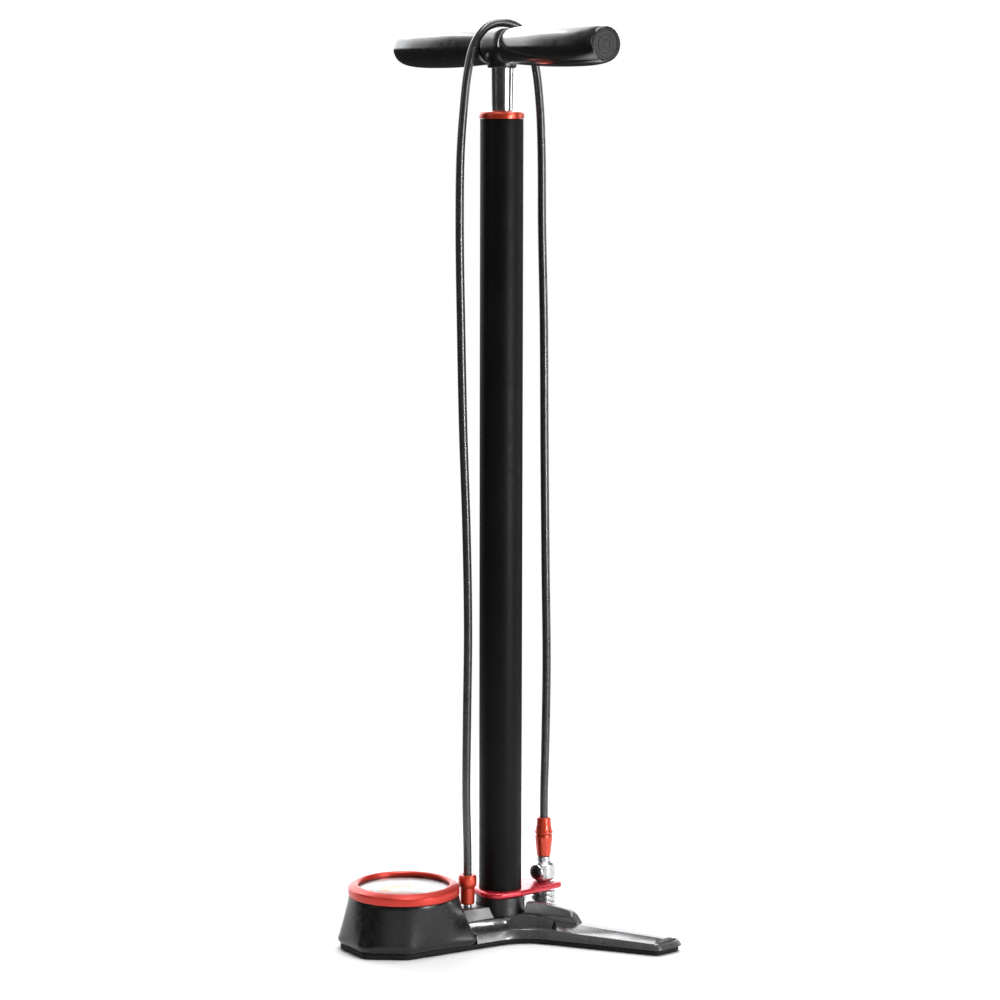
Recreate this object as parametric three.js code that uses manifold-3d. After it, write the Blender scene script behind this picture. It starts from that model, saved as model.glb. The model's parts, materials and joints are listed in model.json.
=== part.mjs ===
// Floor bike pump: three-legged cast base with a gauge pod, a steel barrel,
// a piston rod with a cross handle, and a hose that is parked over the handle.
// Frame: millimetres, +Z up. Origin on the floor, on the barrel axis.
// The gauge lies towards -Y, the parked chuck towards +Y, the handle along X.
import * as THREE from 'three';
import { mergeVertices } from 'three/addons/utils/BufferGeometryUtils.js';
import Module from 'manifold-3d';

const wasm = await Module();
wasm.setup();

// ---------------------------------------------------------------- dimensions
const GAP = 0.3;               // clearance between touching pieces
// base
const SOLE_T = 4.0;            // rubber sole thickness
const CAST_Z = SOLE_T + GAP;   // underside of the casting
const RIM_Z = 9.6;             // top of the bevelled rim
const RIM_IN = 3.2;            // how far the bevel leans in
const HUB_Z = 14.0;            // top of the round hub deck
const HUB_R = 20.6;
const SPINE_Z = 24.1;          // top of the leg spines
const LEG_DEG = [30, 150];     // leg directions
const LEG_LEN = 129;           // leg length from the barrel axis
const MANIFOLD_Z = 21.4;       // top of the air manifold block
// barrel
const BARREL_R = 15.0, BARREL_IR = 13.5;
const BARREL_Z0 = 12.3, BARREL_Z1 = 572.7;
const SOCKET_Z1 = 27.6;
const BRACKET_Z0 = 27.9, BRACKET_T = 4.3;
// piston and handle
const ROD_R = 7.8, ROD_IR = 6.3;
const STROKE = 440;
const HANDLE_Z = 622.3;        // axis of the cross handle
const HANDLE_L = 122.6;        // half length of the handle
const HANDLE_TURN = 2;         // degrees about +Z at rest
const HUBC_R = 12.0;           // radius of the handle hub
const GRIP_R = 14.5;           // largest radius of the grips
// gauge
const G = [0, -79];            // gauge axis
const POD_Z1 = 37.2;
const BEZEL_R = 38.8, DIAL_R = 31.8, BEZEL_Z1 = 45.4;
// hose
const HOSE_R = 2.95;
const FIT = [0, -27.2];        // axis of the hose fitting
const CH = [0, 36.6];          // axis of the parked chuck
// ------------------------------------------------------------------- helpers
const V2 = (x, y) => new THREE.Vector2(x, y);
const V3 = (x, y, z) => new THREE.Vector3(x, y, z);
const rad = (d) => d * Math.PI / 180;

// merge equal corners, drop empty triangles, turn the faces outwards
function solid(geometry) {
  const g = geometry.clone();
  for (const name of Object.keys(g.attributes)) if (name !== 'position') g.deleteAttribute(name);
  const m = mergeVertices(g, 1e-4);
  const idx = m.index.array, pos = m.attributes.position;
  const a = V3(), b = V3(), c = V3(), ab = V3(), ac = V3();
  let keep = [], volume = 0;
  for (let i = 0; i < idx.length; i += 3) {
    const [p, q, r] = [idx[i], idx[i + 1], idx[i + 2]];
    if (p === q || q === r || r === p) continue;
    a.fromBufferAttribute(pos, p); b.fromBufferAttribute(pos, q); c.fromBufferAttribute(pos, r);
    volume += a.dot(ab.crossVectors(b, c)) / 6;
    keep.push(p, q, r);
  }
  if (volume < 0) for (let i = 0; i < keep.length; i += 3) [keep[i + 1], keep[i + 2]] = [keep[i + 2], keep[i + 1]];
  m.setIndex(keep);
  return m;
}
function toM(geometry) {
  const g = solid(geometry);
  return new wasm.Manifold(new wasm.Mesh({
    numProp: 3,
    vertProperties: new Float32Array(g.attributes.position.array),
    triVerts: new Uint32Array(g.index.array),
  }));
}
function fromM(manifold) {
  const mesh = manifold.getMesh();
  const g = new THREE.BufferGeometry();
  const n = mesh.numProp, count = mesh.vertProperties.length / n;
  const pos = new Float32Array(count * 3);
  for (let i = 0; i < count; i++) for (let k = 0; k < 3; k++) pos[i * 3 + k] = mesh.vertProperties[i * n + k];
  g.setAttribute('position', new THREE.BufferAttribute(pos, 3));
  g.setIndex(Array.from(mesh.triVerts));
  return solid(g);
}
const union = (...gs) => fromM(gs.map(toM).reduce((a, b) => a.add(b)));
const cut = (g, ...tools) => fromM(tools.map(toM).reduce((a, b) => a.subtract(b), toM(g)));
const meet = (g, h) => fromM(toM(g).intersect(toM(h)));

// turned piece about +Z from [radius, z] pairs
const FINE = 0.64;             // share of the nominal number of sides
function lathe(profile, sides = 36, at = [0, 0]) {
  const seg = Math.max(14, 2 * Math.round(sides * FINE / 2));
  const g = new THREE.LatheGeometry(profile.map(([r, z]) => V2(r, z)), seg);
  g.rotateX(Math.PI / 2);
  g.translate(at[0], at[1], 0);
  return solid(g);
}
const ring = (pts) => [...pts, pts[0]];
const disc = (r, z0, z1, seg = 36, at = [0, 0]) => lathe([[0, z0], [r, z0], [r, z1], [0, z1]], seg, at);
const tubeRing = (ri, ro, z0, z1, seg = 36, at = [0, 0]) => lathe(ring([[ri, z0], [ro, z0], [ro, z1], [ri, z1]]), seg, at);
function prism(points, z0, z1) {
  const g = new THREE.ExtrudeGeometry(new THREE.Shape(points), { depth: z1 - z0, bevelEnabled: false, steps: 1 });
  g.translate(0, 0, z0);
  return solid(g);
}
function box(x0, x1, y0, y1, z0, z1) {
  const g = new THREE.BoxGeometry(x1 - x0, y1 - y0, z1 - z0);
  g.translate((x0 + x1) / 2, (y0 + y1) / 2, (z0 + z1) / 2);
  return solid(g);
}
// closed skin through rings of equal length, with flat ends
function loft(rings) {
  const n = rings[0].length, pos = [], idx = [];
  for (const r of rings) for (const p of r) pos.push(p[0], p[1], p[2]);
  for (let k = 0; k + 1 < rings.length; k++) for (let i = 0; i < n; i++) {
    const j = (i + 1) % n, a = k * n + i, b = k * n + j, c = a + n, d = b + n;
    idx.push(a, b, d, a, d, c);
  }
  const flat = (r) => THREE.ShapeUtils.triangulateShape(r.map((p) => V2(p[0], p[1])), []);
  for (const [p, q, r] of flat(rings[0])) idx.push(p, r, q);
  const o = (rings.length - 1) * n;
  for (const [p, q, r] of flat(rings[rings.length - 1])) idx.push(o + p, o + q, o + r);
  const g = new THREE.BufferGeometry();
  g.setAttribute('position', new THREE.BufferAttribute(new Float32Array(pos), 3));
  g.setIndex(idx);
  return solid(g);
}
// polygon with rounded corners from [x, y, radius]
function rounded(corners, steps = 5) {
  const out = [], n = corners.length;
  for (let i = 0; i < n; i++) {
    const [x, y, r] = corners[i];
    const p = V2(x, y), a = V2(...corners[(i + n - 1) % n].slice(0, 2)), b = V2(...corners[(i + 1) % n].slice(0, 2));
    if (!r) { out.push(p); continue; }
    const u = a.clone().sub(p).normalize(), v = b.clone().sub(p).normalize();
    const half = Math.acos(THREE.MathUtils.clamp(u.dot(v), -1, 1)) / 2;
    const t = r / Math.tan(half);
    const c = p.clone().add(u.clone().add(v).normalize().multiplyScalar(r / Math.sin(half)));
    const s = p.clone().add(u.clone().multiplyScalar(t)), e = p.clone().add(v.clone().multiplyScalar(t));
    let a0 = Math.atan2(s.y - c.y, s.x - c.x), a1 = Math.atan2(e.y - c.y, e.x - c.x);
    while (a1 - a0 > Math.PI) a1 -= 2 * Math.PI;
    while (a1 - a0 < -Math.PI) a1 += 2 * Math.PI;
    for (let k = 0; k <= steps; k++) {
      const t2 = a0 + (a1 - a0) * k / steps;
      out.push(V2(c.x + r * Math.cos(t2), c.y + r * Math.sin(t2)));
    }
  }
  return out;
}
// move a counter-clockwise outline inwards by d
function inset(points, d) {
  const n = points.length;
  return points.map((p, i) => {
    const a = points[(i + n - 1) % n], b = points[(i + 1) % n];
    const u = p.clone().sub(a).normalize(), v = b.clone().sub(p).normalize();
    const nu = V2(-u.y, u.x), nv = V2(-v.y, v.x);
    const m = nu.add(nv).normalize();
    const k = Math.max(0.4, m.dot(V2(-u.y, u.x)));
    return p.clone().add(m.multiplyScalar(d / k));
  });
}
const at = (points, z) => points.map((p) => [p.x, p.y, typeof z === 'function' ? z(p.x, p.y) : z]);
// round tube along a path, with flat ends
function pipe(points, r, sides = 8, steps = 60, closed = false) {
  const curve = new THREE.CatmullRomCurve3(points.map((p) => V3(...p)), closed);
  const s = [];
  for (let i = 0; i < sides; i++) s.push(V2(r * Math.cos(2 * Math.PI * i / sides), r * Math.sin(2 * Math.PI * i / sides)));
  return solid(new THREE.ExtrudeGeometry(new THREE.Shape(s), { steps, extrudePath: curve, bevelEnabled: false }));
}
const turnZ = (g, deg) => { const c = g.clone(); c.rotateZ(rad(deg)); return c; };

const pump = new THREE.Group();
function add(name, geometry, color, roughness, metalness, parent = pump) {
  const g = geometry.index ? geometry : solid(geometry);
  g.computeVertexNormals();
  const mesh = new THREE.Mesh(g, new THREE.MeshStandardMaterial({ color, roughness, metalness }));
  mesh.name = name;
  parent.add(mesh);
  return mesh;
}
const BLACK = 0x1a1a1a, RED = 0xc8322d, SILVER = 0xb8b9bc, GREY = 0x54565a, STEEL = 0xc9cbd0, BRASS = 0xb5914c, RUBBER = 0x161616;

// ---------------------------------------------------------------------- base
const outline = rounded([
  [0, -123.2, 0], [18, -123.2, 8], [37, -97, 12], [37, -4.0, 34], [117.6, 55.0, 7], [113.4, 83.0, 7], [28, 46.4, 30],
  [0, 43.5, 0], [-28, 46.4, 30], [-113.4, 83.0, 7], [-117.6, 55.0, 7], [-37, -4.0, 34], [-37, -97, 12], [-18, -123.2, 8],
]);
const POD_BACK = -41.6;         // where the pod ends and the casting starts
const podShape = rounded([
  [0, -123.2, 0], [18, -123.2, 8], [37.6, -97, 12], [37.6, POD_BACK, 3], [-37.6, POD_BACK, 3], [-37.6, -97, 12], [-18, -123.2, 8],
], 5);
function podRing(t, z, grow = 0) {
  // t = 0 keeps the floor plan, t = 1 is the round top
  const dense = [];
  const c = podShape;
  for (let i = 0; i < c.length; i++) {
    const a = c[i], b = c[(i + 1) % c.length], len = a.distanceTo(b), k = Math.max(1, Math.round(len / 9));
    for (let j = 0; j < k; j++) dense.push(a.clone().lerp(b, j / k));
  }
  return dense.map((p) => {
    const ang = Math.atan2(p.y - G[1], p.x - G[0]);
    const qx = G[0] + 38.4 * Math.cos(ang), qy = G[1] + 38.4 * Math.sin(ang);
    const x = p.x + (qx - p.x) * t, y = p.y + (qy - p.y) * t;
    return [x + grow * Math.cos(ang), y + grow * Math.sin(ang), z];
  });
}
add('base_sole', prism(inset(outline, 1.6), 0, SOLE_T), RUBBER, 0.9, 0.0);

// height of the rim, falling towards the leg tips
const legT = (x, y) => THREE.MathUtils.clamp((Math.hypot(x, y) - 46) / 84, 0, 1) * (y > 0 ? 1 : 0);
const rimZ = (x, y) => RIM_Z + 0.8 - 2.4 * legT(x, y);
const slab = loft([at(outline, CAST_Z), at(outline, CAST_Z + 0.9), at(inset(outline, RIM_IN), rimZ)]);
const behindPod = box(-200, 200, POD_BACK + GAP, 200, -5, 60);
let casting = meet(slab, behindPod);
// pockets beside the hub
const pocketArea = prism(inset(outline, RIM_IN + 3.4), 6.4, 30);
const footPlan = [[45.5, -6], [53.5, -17], [60, -60], [160, -60], [160, 60], [60, 60], [57, 23], [45.5, 6.5]];
const footKeep = (m) => prism((m ? footPlan.map(([x, y]) => [x, -y]).reverse() : footPlan).map(([x, y]) => V2(x, y)), 0, 40);
const keepers = union(
  disc(HUB_R + 1.5, 0, 40, 40),
  box(-15, 15, -60, 0, 0, 40),
  box(-80, 80, -140, POD_BACK + 4, 0, 40),
  ...LEG_DEG.map((d) => turnZ(footKeep(d > 90), d)),
  ...LEG_DEG.map((d) => turnZ(box(0, 60, -5.2, 5.2, 0, 40), d)),
  box(-30, 30, 30, 60, 0, 40),
);
casting = cut(casting, cut(pocketArea, keepers));
// hub deck, leg spines, foot crowns and the air manifold
const hub = lathe([[0, CAST_Z + 0.4], [HUB_R, CAST_Z + 0.4], [HUB_R, HUB_Z - 1.4], [HUB_R - 1.4, HUB_Z], [0, HUB_Z]], 40);
function legPiece(stations, mirrored = false) {
  // stations: equal lists of corners, joined along the leg
  const rows = mirrored ? stations.map((s) => s.map(([x, y, z]) => [x, -y, z]).reverse()) : stations;
  const pos = [], idx = [], n = rows[0].length;
  rows.forEach((s) => s.forEach((p) => pos.push(...p)));
  for (let k = 0; k + 1 < rows.length; k++) for (let i = 0; i < n; i++) {
    const j = (i + 1) % n, a = k * n + i, b = k * n + j;
    idx.push(a, b, b + n, a, b + n, a + n);
  }
  const o = (rows.length - 1) * n;
  for (let i = 1; i + 1 < n; i++) idx.push(0, i + 1, i, o, o + i, o + i + 1);
  const g = new THREE.BufferGeometry();
  g.setAttribute('position', new THREE.BufferAttribute(new Float32Array(pos), 3));
  g.setIndex(idx);
  return solid(g);
}
const BASE = CAST_Z + 0.5;
// fin: upright wall to the shoulder, then a leaning face up to a narrow top
const fin = (x, top, half, shoulder, z) => [[x, -half, BASE], [x, half, BASE], [x, half, shoulder], [x, top, z], [x, -top, z], [x, -half, shoulder]];
const spine = legPiece([fin(22.6, 3.2, 6.6, 17.2, SPINE_Z), fin(40, 2.9, 5.6, 18.0, SPINE_Z), fin(50, 2.5, 5.0, 18.3, SPINE_Z - 1.1),
  fin(56.5, 2.2, 4.6, 18.1, SPINE_Z - 2.4), fin(60, 2.0, 4.3, 17.2, SPINE_Z - 4.8), fin(62.5, 1.8, 4.0, 14.6, 15.8), fin(64, 1.6, 3.8, 11.9, 12.6)]);
// web that fans out from the hub deck into the fin
const web = legPiece([[[8, -19, BASE], [8, 19, BASE], [8, 17, 13.6], [8, -17, 13.6]], [[27, -15, BASE], [27, 15, BASE], [27, 7, 16.3], [27, -7, 16.3]],
  [[45, -9.5, BASE], [45, 9.5, BASE], [44, 5.4, 14.0], [44, -5.4, 14.0]]]);
// foot: two facets falling from a flat ridge to the rim, starting with a step
const foot = (x, near, far, rim, half, ridge, skew = 0) => [[x + skew, -near, BASE], [x + skew + skew * 0.4, far, BASE], [x + skew + skew * 0.4, far, rim], [x, half + 1, ridge], [x, -half, ridge], [x + skew, -near, rim]];
const crown = (m) => legPiece([foot(46, 16, 21.8, 10.15, 4.6, 13.6, 7), foot(66, 14.8, 20.8, 9.9, 4.2, 13.3), foot(96, 11.5, 17.3, 9.0, 3.2, 12.2), [[126, -8.3, BASE], [134.5, 12.6, BASE], [134.5, 12.6, 8.1], [129.6, 3.6, 11.4], [127, -2.6, 11.4], [126, -8.3, 8.15]]], m);
const deckPlan = [V2(-13.4, POD_BACK + GAP + 0.2), V2(13.4, POD_BACK + GAP + 0.2), V2(20.3, -2), V2(-20.3, -2)];
const deck = loft([at(inset(deckPlan, -1.6), BASE), at(inset(deckPlan, -1.0), HUB_Z - 1.6), at(deckPlan, HUB_Z)]);
const manifoldBlock = loft([
  at(rounded([[-13, POD_BACK + GAP + 0.2, 1], [13, POD_BACK + GAP + 0.2, 1], [13, -10, 1], [-13, -10, 1]], 2), HUB_Z - 1),
  at(rounded([[-9.6, POD_BACK + GAP + 0.2, 1], [9.6, POD_BACK + GAP + 0.2, 1], [9.6, -12, 1], [-9.6, -12, 1]], 2), MANIFOLD_Z),
]);
casting = union(casting, deck);
casting = union(casting, hub, manifoldBlock, ...LEG_DEG.flatMap((d) => [turnZ(spine, d), turnZ(web, d), turnZ(crown(d > 90), d)]));
// barrel seat, collar seat, valve chamber and air passage
casting = cut(casting,
  disc(15.4, 10.9, 40, 40),
  lathe([[0, HUB_Z - 0.0], [18.3, HUB_Z - 0.0], [17.6, 40], [0, 40]], 40),
  disc(6.2, 5.4, 12, 28),
  box(-1.6, 1.6, POD_BACK - 2, -4, 6.6, 9.8),
  disc(3.4, MANIFOLD_Z - 4.2, MANIFOLD_Z + 2, 24, FIT),
  disc(1.5, 8, MANIFOLD_Z, 16, FIT),
);
casting = cut(casting, loft([podRing(0.0, 3, 0.5), podRing(0.0, CAST_Z + 1.6, 0.5), podRing(0.12, 12, 0.5), podRing(0.42, 20, 0.5), podRing(0.8, 29, 0.5)]));
add('base_casting', casting, GREY, 0.45, 0.75);

// check valve under the barrel
add('check_valve_seat', lathe(ring([[1.9, 9.3], [5.9, 9.3], [5.9, 10.6], [1.9, 10.6]]), 28), BRASS, 0.35, 0.9);
add('check_valve_poppet', lathe([[0, 6.9], [1.2, 6.9], [1.2, 7.8], [3.7, 7.8], [3.7, 9.0], [0, 9.0]], 24), RUBBER, 0.8, 0);
const coil = [];
for (let i = 0; i <= 24; i++) { const t = i / 24; coil.push([2.6 * Math.cos(t * 2 * Math.PI * 1.5), 2.6 * Math.sin(t * 2 * Math.PI * 1.5), 6.0 + 1.2 * t]); }
add('check_valve_spring', pipe(coil, 0.25, 8, 20), STEEL, 0.3, 0.9);

// ----------------------------------------------------------------- gauge pod
let pod = loft([podRing(0.06, CAST_Z), podRing(0.0, CAST_Z + 1.6), podRing(0.12, 12), podRing(0.42, 20), podRing(0.8, 29), podRing(1, 35.4), podRing(1, POD_Z1)]);
pod = cut(pod, disc(34.2, 10.6, 60, 48, G), disc(3.4, -5, 12, 20, G));
add('gauge_pod', pod, 0x303134, 0.55, 0.1);
// stem between the gauge and the air manifold is inside the pod floor
add('gauge_case', lathe(ring([[3.4, 11.0], [33.6, 11.0], [33.6, 39.2], [32.6, 39.2], [32.6, 12.2], [3.4, 12.2]]), 44, G), STEEL, 0.35, 0.9);
const stem = lathe(ring([[1.0, 9.0], [3.0, 9.0], [3.0, 12.6], [7.0, 12.6], [7.0, 21], [1.5, 21], [1.5, 14], [1.0, 14]]), 24, G);
add('gauge_movement', stem, BRASS, 0.35, 0.9);
const bourdon = [];
for (let i = 0; i <= 20; i++) { const a = rad(-60 + 260 * i / 20); bourdon.push([G[0] + 24 * Math.cos(a), G[1] + 24 * Math.sin(a), 19]); }
add('gauge_bourdon_tube', pipe(bourdon, 3.2, 8, 18), BRASS, 0.3, 0.9);
add('gauge_dial', lathe(ring([[2.2, 35.4], [32.2, 35.4], [32.2, 36.2], [2.2, 36.2]]), 44, G), 0xf2f2ee, 0.4, 0);
// the needle rests on zero; the dial reads from the +Y side
const NEEDLE_A = rad(45);
const nd = [V2(-7, -1.5), V2(0, -1.1), V2(26, -0.35), V2(27.5, 0), V2(26, 0.35), V2(0, 1.1), V2(-7, 1.5)];
let needle = prism(nd, 37.3, 37.9);
needle.rotateZ(NEEDLE_A); needle.translate(G[0], G[1], 0);
needle = union(needle, disc(2.6, 36.9, 38.6, 24, G), disc(1.1, 16, 37.2, 16, G));
add('gauge_needle', needle, 0x151515, 0.4, 0.1);
add('gauge_lens_seal', tubeRing(32.2, 33.9, 39.6, 40.7, 44, G), RUBBER, 0.9, 0);
add('gauge_lens', lathe([[0, 41.0], [34.0, 41.0], [34.0, 42.4], [0, 42.4]], 44, G), 0xe8f0f0, 0.05, 0);
add('gauge_bezel', lathe(ring([[34.4, POD_Z1 + GAP], [BEZEL_R - 0.5, POD_Z1 + GAP], [BEZEL_R, POD_Z1 + 0.9], [BEZEL_R, BEZEL_Z1 - 2.7], [BEZEL_R - 0.6, BEZEL_Z1 - 2.0],
  [DIAL_R + 2.0, BEZEL_Z1], [DIAL_R + 1.2, BEZEL_Z1 - 0.1], [DIAL_R, BEZEL_Z1 - 1.0], [DIAL_R, 42.8], [34.4, 42.8]]), 56, G), RED, 0.3, 0.6);

// -------------------------------------------------------------------- barrel
add('barrel_seal', tubeRing(12.6, 15.0, 11.0, 12.0, 32), RUBBER, 0.9, 0);
add('barrel_tube', tubeRing(BARREL_IR, BARREL_R, BARREL_Z0, BARREL_Z1, 48), BLACK, 0.5, 0.4);
add('barrel_socket', lathe(ring([[15.4, HUB_Z + GAP], [17.9, HUB_Z + GAP], [17.9, HUB_Z + 2.2], [17.2, HUB_Z + 4], [17.1, SOCKET_Z1 - 0.8], [16.6, SOCKET_Z1], [15.4, SOCKET_Z1]]), 44), BLACK, 0.5, 0.2);
const C0 = 573.0;
add('barrel_cap', lathe(ring([[10.4, 552], [13.2, 552], [13.2, C0], [15.6, C0], [15.6, C0 + 3.6], [15.0, C0 + 4.4], [9.6, C0 + 5.6], [8.6, C0 + 5.6], [8.6, C0 + 2.6], [10.4, C0 + 2.6]]), 48), RED, 0.3, 0.6);
add('rod_guide_bush', tubeRing(8.1, 10.1, 552.6, 570.6, 36), 0x2a2a2a, 0.5, 0);
add('rod_wiper_seal', tubeRing(8.1, 10.1, 571.2, 574.6, 36), RUBBER, 0.9, 0);

// bracket: clamps the barrel and parks the chuck; slot open to the rear
const bc = rounded([[-19, -19, 15], [19, -19, 15], [19.4, 6, 14], [11.2, 45.6, 3.4], [-11.2, 45.6, 3.4], [-19.4, 6, 14]], 5);
let bracket = loft([at(inset(bc, 0.8), BRACKET_Z0), at(bc, BRACKET_Z0 + 0.8), at(bc, BRACKET_Z0 + BRACKET_T - 0.8), at(inset(bc, 0.8), BRACKET_Z0 + BRACKET_T)]);
bracket = cut(bracket, disc(15.3, 0, 60, 44),
  union(disc(5.7, 20, 40, 28, CH), box(-5.2, 5.2, CH[1], 60, 20, 40)));
add('chuck_bracket', bracket, RED, 0.3, 0.6);

// ------------------------------------------------------------- piston, handle
add('piston_head', lathe(ring([[3.4, 32], [13.0, 32], [13.0, 35.0], [11.2, 35.0], [11.2, 39.6], [13.0, 39.6], [13.0, 43.0], [6.0, 43.0], [6.0, 47], [3.4, 47]]), 40), 0xb8b8ba, 0.4, 0.8);
add('piston_seal', tubeRing(11.5, 13.3, 35.3, 39.3, 40), RUBBER, 0.9, 0);
add('piston_bolt', lathe([[0, 28.6], [5, 28.6], [5, 31.7], [3.1, 31.7], [3.1, 54], [0, 54]], 24), STEEL, 0.3, 0.9);
add('top_bumper', tubeRing(8.2, 12.6, 47.4, 53.4, 36), RUBBER, 0.9, 0);

const rodG = lathe(ring([[3.4, 47.4], [ROD_R - 0.6, 47.4], [ROD_R, 48.2], [ROD_R, 580], [8.05, 592], [8.35, 607], [8.35, 613], [ROD_IR, 613], [ROD_IR, 60], [3.4, 56]]), 36);
add('piston_rod', rodG, STEEL, 0.12, 1.0);

const handle = new THREE.Group();
handle.position.set(0, 0, HANDLE_Z);
handle.rotation.z = rad(HANDLE_TURN);
pump.add(handle);
// pieces below are made along local Z, then laid along local X
const along = (g) => { const c = g.clone(); c.rotateY(Math.PI / 2); return solid(c); };
const hubBody = union(
  along(lathe([[0, -10.9], [10.4, -10.9], [HUBC_R - 0.3, -9.6], [HUBC_R, -8], [HUBC_R, 8], [HUBC_R - 0.3, 9.6], [10.4, 10.9], [0, 10.9]], 40)),
  lathe([[0, -15.0], [9.6, -15.0], [10.0, -14.2], [10.2, -12.4], [11.3, -8.5], [11.3, 0], [0, 0]], 40),
);
add('handle_hub', cut(hubBody, along(disc(6.4, -20, 20, 28)), disc(8.7, -40, -8.9, 36)), BLACK, 0.35, 0.1, handle);
add('handle_bar', along(lathe(ring([[4.6, -HANDLE_L + 6], [6.0, -HANDLE_L + 6], [6.0, HANDLE_L - 6], [4.6, HANDLE_L - 6]]), 28)), STEEL, 0.3, 0.9, handle);
const L = HANDLE_L;
const gripProfile = ring([[6.4, 11.6], [10.6, 11.6], [12.0, 12.3], [12.5, 14.0], [12.9, 24], [13.6, 38], [14.2, 52], [GRIP_R, 66], [GRIP_R, 86], [14.3, 98], [13.8, 108],
  [12.9, 116.5], [11.6, L - 1.0], [11.1, L - 0.4], [11.1, L - 4], [6.4, L - 4]]);
const grip = lathe(gripProfile, 40);
const gripR = along(grip), gripL = solid(gripR.clone().rotateZ(Math.PI));
add('grip_right', gripR, BLACK, 0.35, 0, handle);
add('grip_left', gripL, BLACK, 0.35, 0, handle);
const cap = lathe([[0, L - 3.6], [10.7, L - 3.6], [10.7, L - 0.6], [10.2, L - 0.1], [7.2, L - 0.1], [6.9, L - 0.5], [0, L - 0.3]], 36);
const capR = along(cap), capL = solid(capR.clone().rotateZ(Math.PI));
add('end_cap_right', capR, 0x333333, 0.45, 0, handle);
add('end_cap_left', capL, 0x333333, 0.45, 0, handle);

// ------------------------------------------------------------- hose and chuck
add('hose_outlet_neck', lathe(ring([[1.2, MANIFOLD_Z - 3.8], [2.9, MANIFOLD_Z - 3.8], [2.9, 23.2], [1.2, 23.2]]), 24, FIT), SILVER, 0.3, 0.9);
add('hose_fitting', lathe(ring([[1.4, 23.5], [4.6, 23.5], [5.05, 24.0], [5.05, 35.4], [5.6, 36.2], [6.4, 36.9], [6.45, 43.2], [5.9, 44.2], [3.3, 44.4], [3.3, 38], [1.4, 38]]), 32, FIT), RED, 0.3, 0.6);
const hosePath = [
  [0, -27.2, 38.6], [0.1, -27.3, 60], [0, -28.2, 100], [0, -27.6, 160], [0.2, -27.0, 220], [0.2, -28.4, 290], [0, -31.0, 360], [-0.2, -32.6, 430],
  [-0.2, -33.8, 500], [0, -33.2, 550], [0.4, -31.0, 580], [0.6, -28.0, 604], [0.4, -22.4, 623.5], [0.2, -12.6, 635.0], [0, 0.6, 638.4], [-0.2, 13.6, 635.0], [-0.4, 23.2, 624],
  [-0.4, 28.2, 606], [-0.2, 31.2, 582], [0, 32.6, 550], [0, 33.2, 500], [0, 35.0, 430], [0, 36.0, 340], [0, 37.2, 260], [0, 38.4, 190], [0, 37.6, 130], [0, 36.7, 95], [0, 36.6, 72],
];
add('hose', pipe(hosePath, HOSE_R, 8, 64), 0x2b2c2e, 0.6, 0);
add('hose_end_ferrule', lathe(ring([[3.3, 66.4], [6.5, 66.4], [6.5, 67.6], [6.1, 69.6], [5.2, 72.4], [4.8, 77.4], [4.4, 78.2], [3.3, 78.2]]), 32, CH), RED, 0.3, 0.6);
add('hose_coupler', lathe(ring([[1.5, 50.4], [4.9, 50.4], [5.1, 51.4], [5.5, 55], [6.1, 64.6], [5.7, 66.1], [1.5, 66.1]]), 32, CH), RED, 0.3, 0.6);
// chuck: neck, body with the bleed button bore, lower neck, ribbed collar
const B0 = 33.4, B1 = 45.6, BA = rad(-72);   // body heights, button direction
let chuckBody = lathe(ring([[1.5, B1 - 3], [1.5, 50.1], [4.9, 50.1], [4.9, B1 + 0.4], [7.4, B1], [8.1, B1 - 0.8], [8.1, B0 + 0.8], [7.4, B0], [5.3, B0], [5.3, 26.6], [2.2, 26.6], [2.2, B1 - 3]]), 40, CH);
const btn = (r, x0, x1, seg = 24) => { const g = along(disc(r, x0, x1, seg)); g.rotateZ(BA); g.translate(CH[0], CH[1], (B0 + B1) / 2); return solid(g); };
chuckBody = union(chuckBody, btn(5.6, 2.6, 9.2, 32));
chuckBody = cut(chuckBody, btn(4.5, 6.6, 12), btn(1.6, 0, 7), disc(2.2, 20, B1 - 3, 20, CH), disc(1.5, B1 - 4, 60, 16, CH));
add('chuck_body', chuckBody, SILVER, 0.35, 0.85);
add('bleed_button', union(btn(4.1, 8.3, 9.9), btn(1.3, 4.4, 8.6, 16)), BLACK, 0.4, 0.1);
const collarP = [[4.3, 15.2], [8.3, 15.2], [8.6, 15.6], [8.6, 17.8], [8.1, 18.2], [8.1, 18.9], [8.6, 19.3], [8.6, 21.6], [8.1, 22.0], [8.1, 22.7], [8.6, 23.1], [8.6, 25.2], [8.1, 26.2], [4.3, 26.2]];
add('chuck_collar', lathe(ring(collarP), 40, CH), SILVER, 0.3, 0.9);
add('chuck_seal', tubeRing(2.5, 4.0, 21.8, 26.2, 24, CH), RUBBER, 0.9, 0);

export default pump;
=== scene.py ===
import bpy, bmesh, json, math, random
import numpy as np
from mathutils import Matrix, Vector


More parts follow.
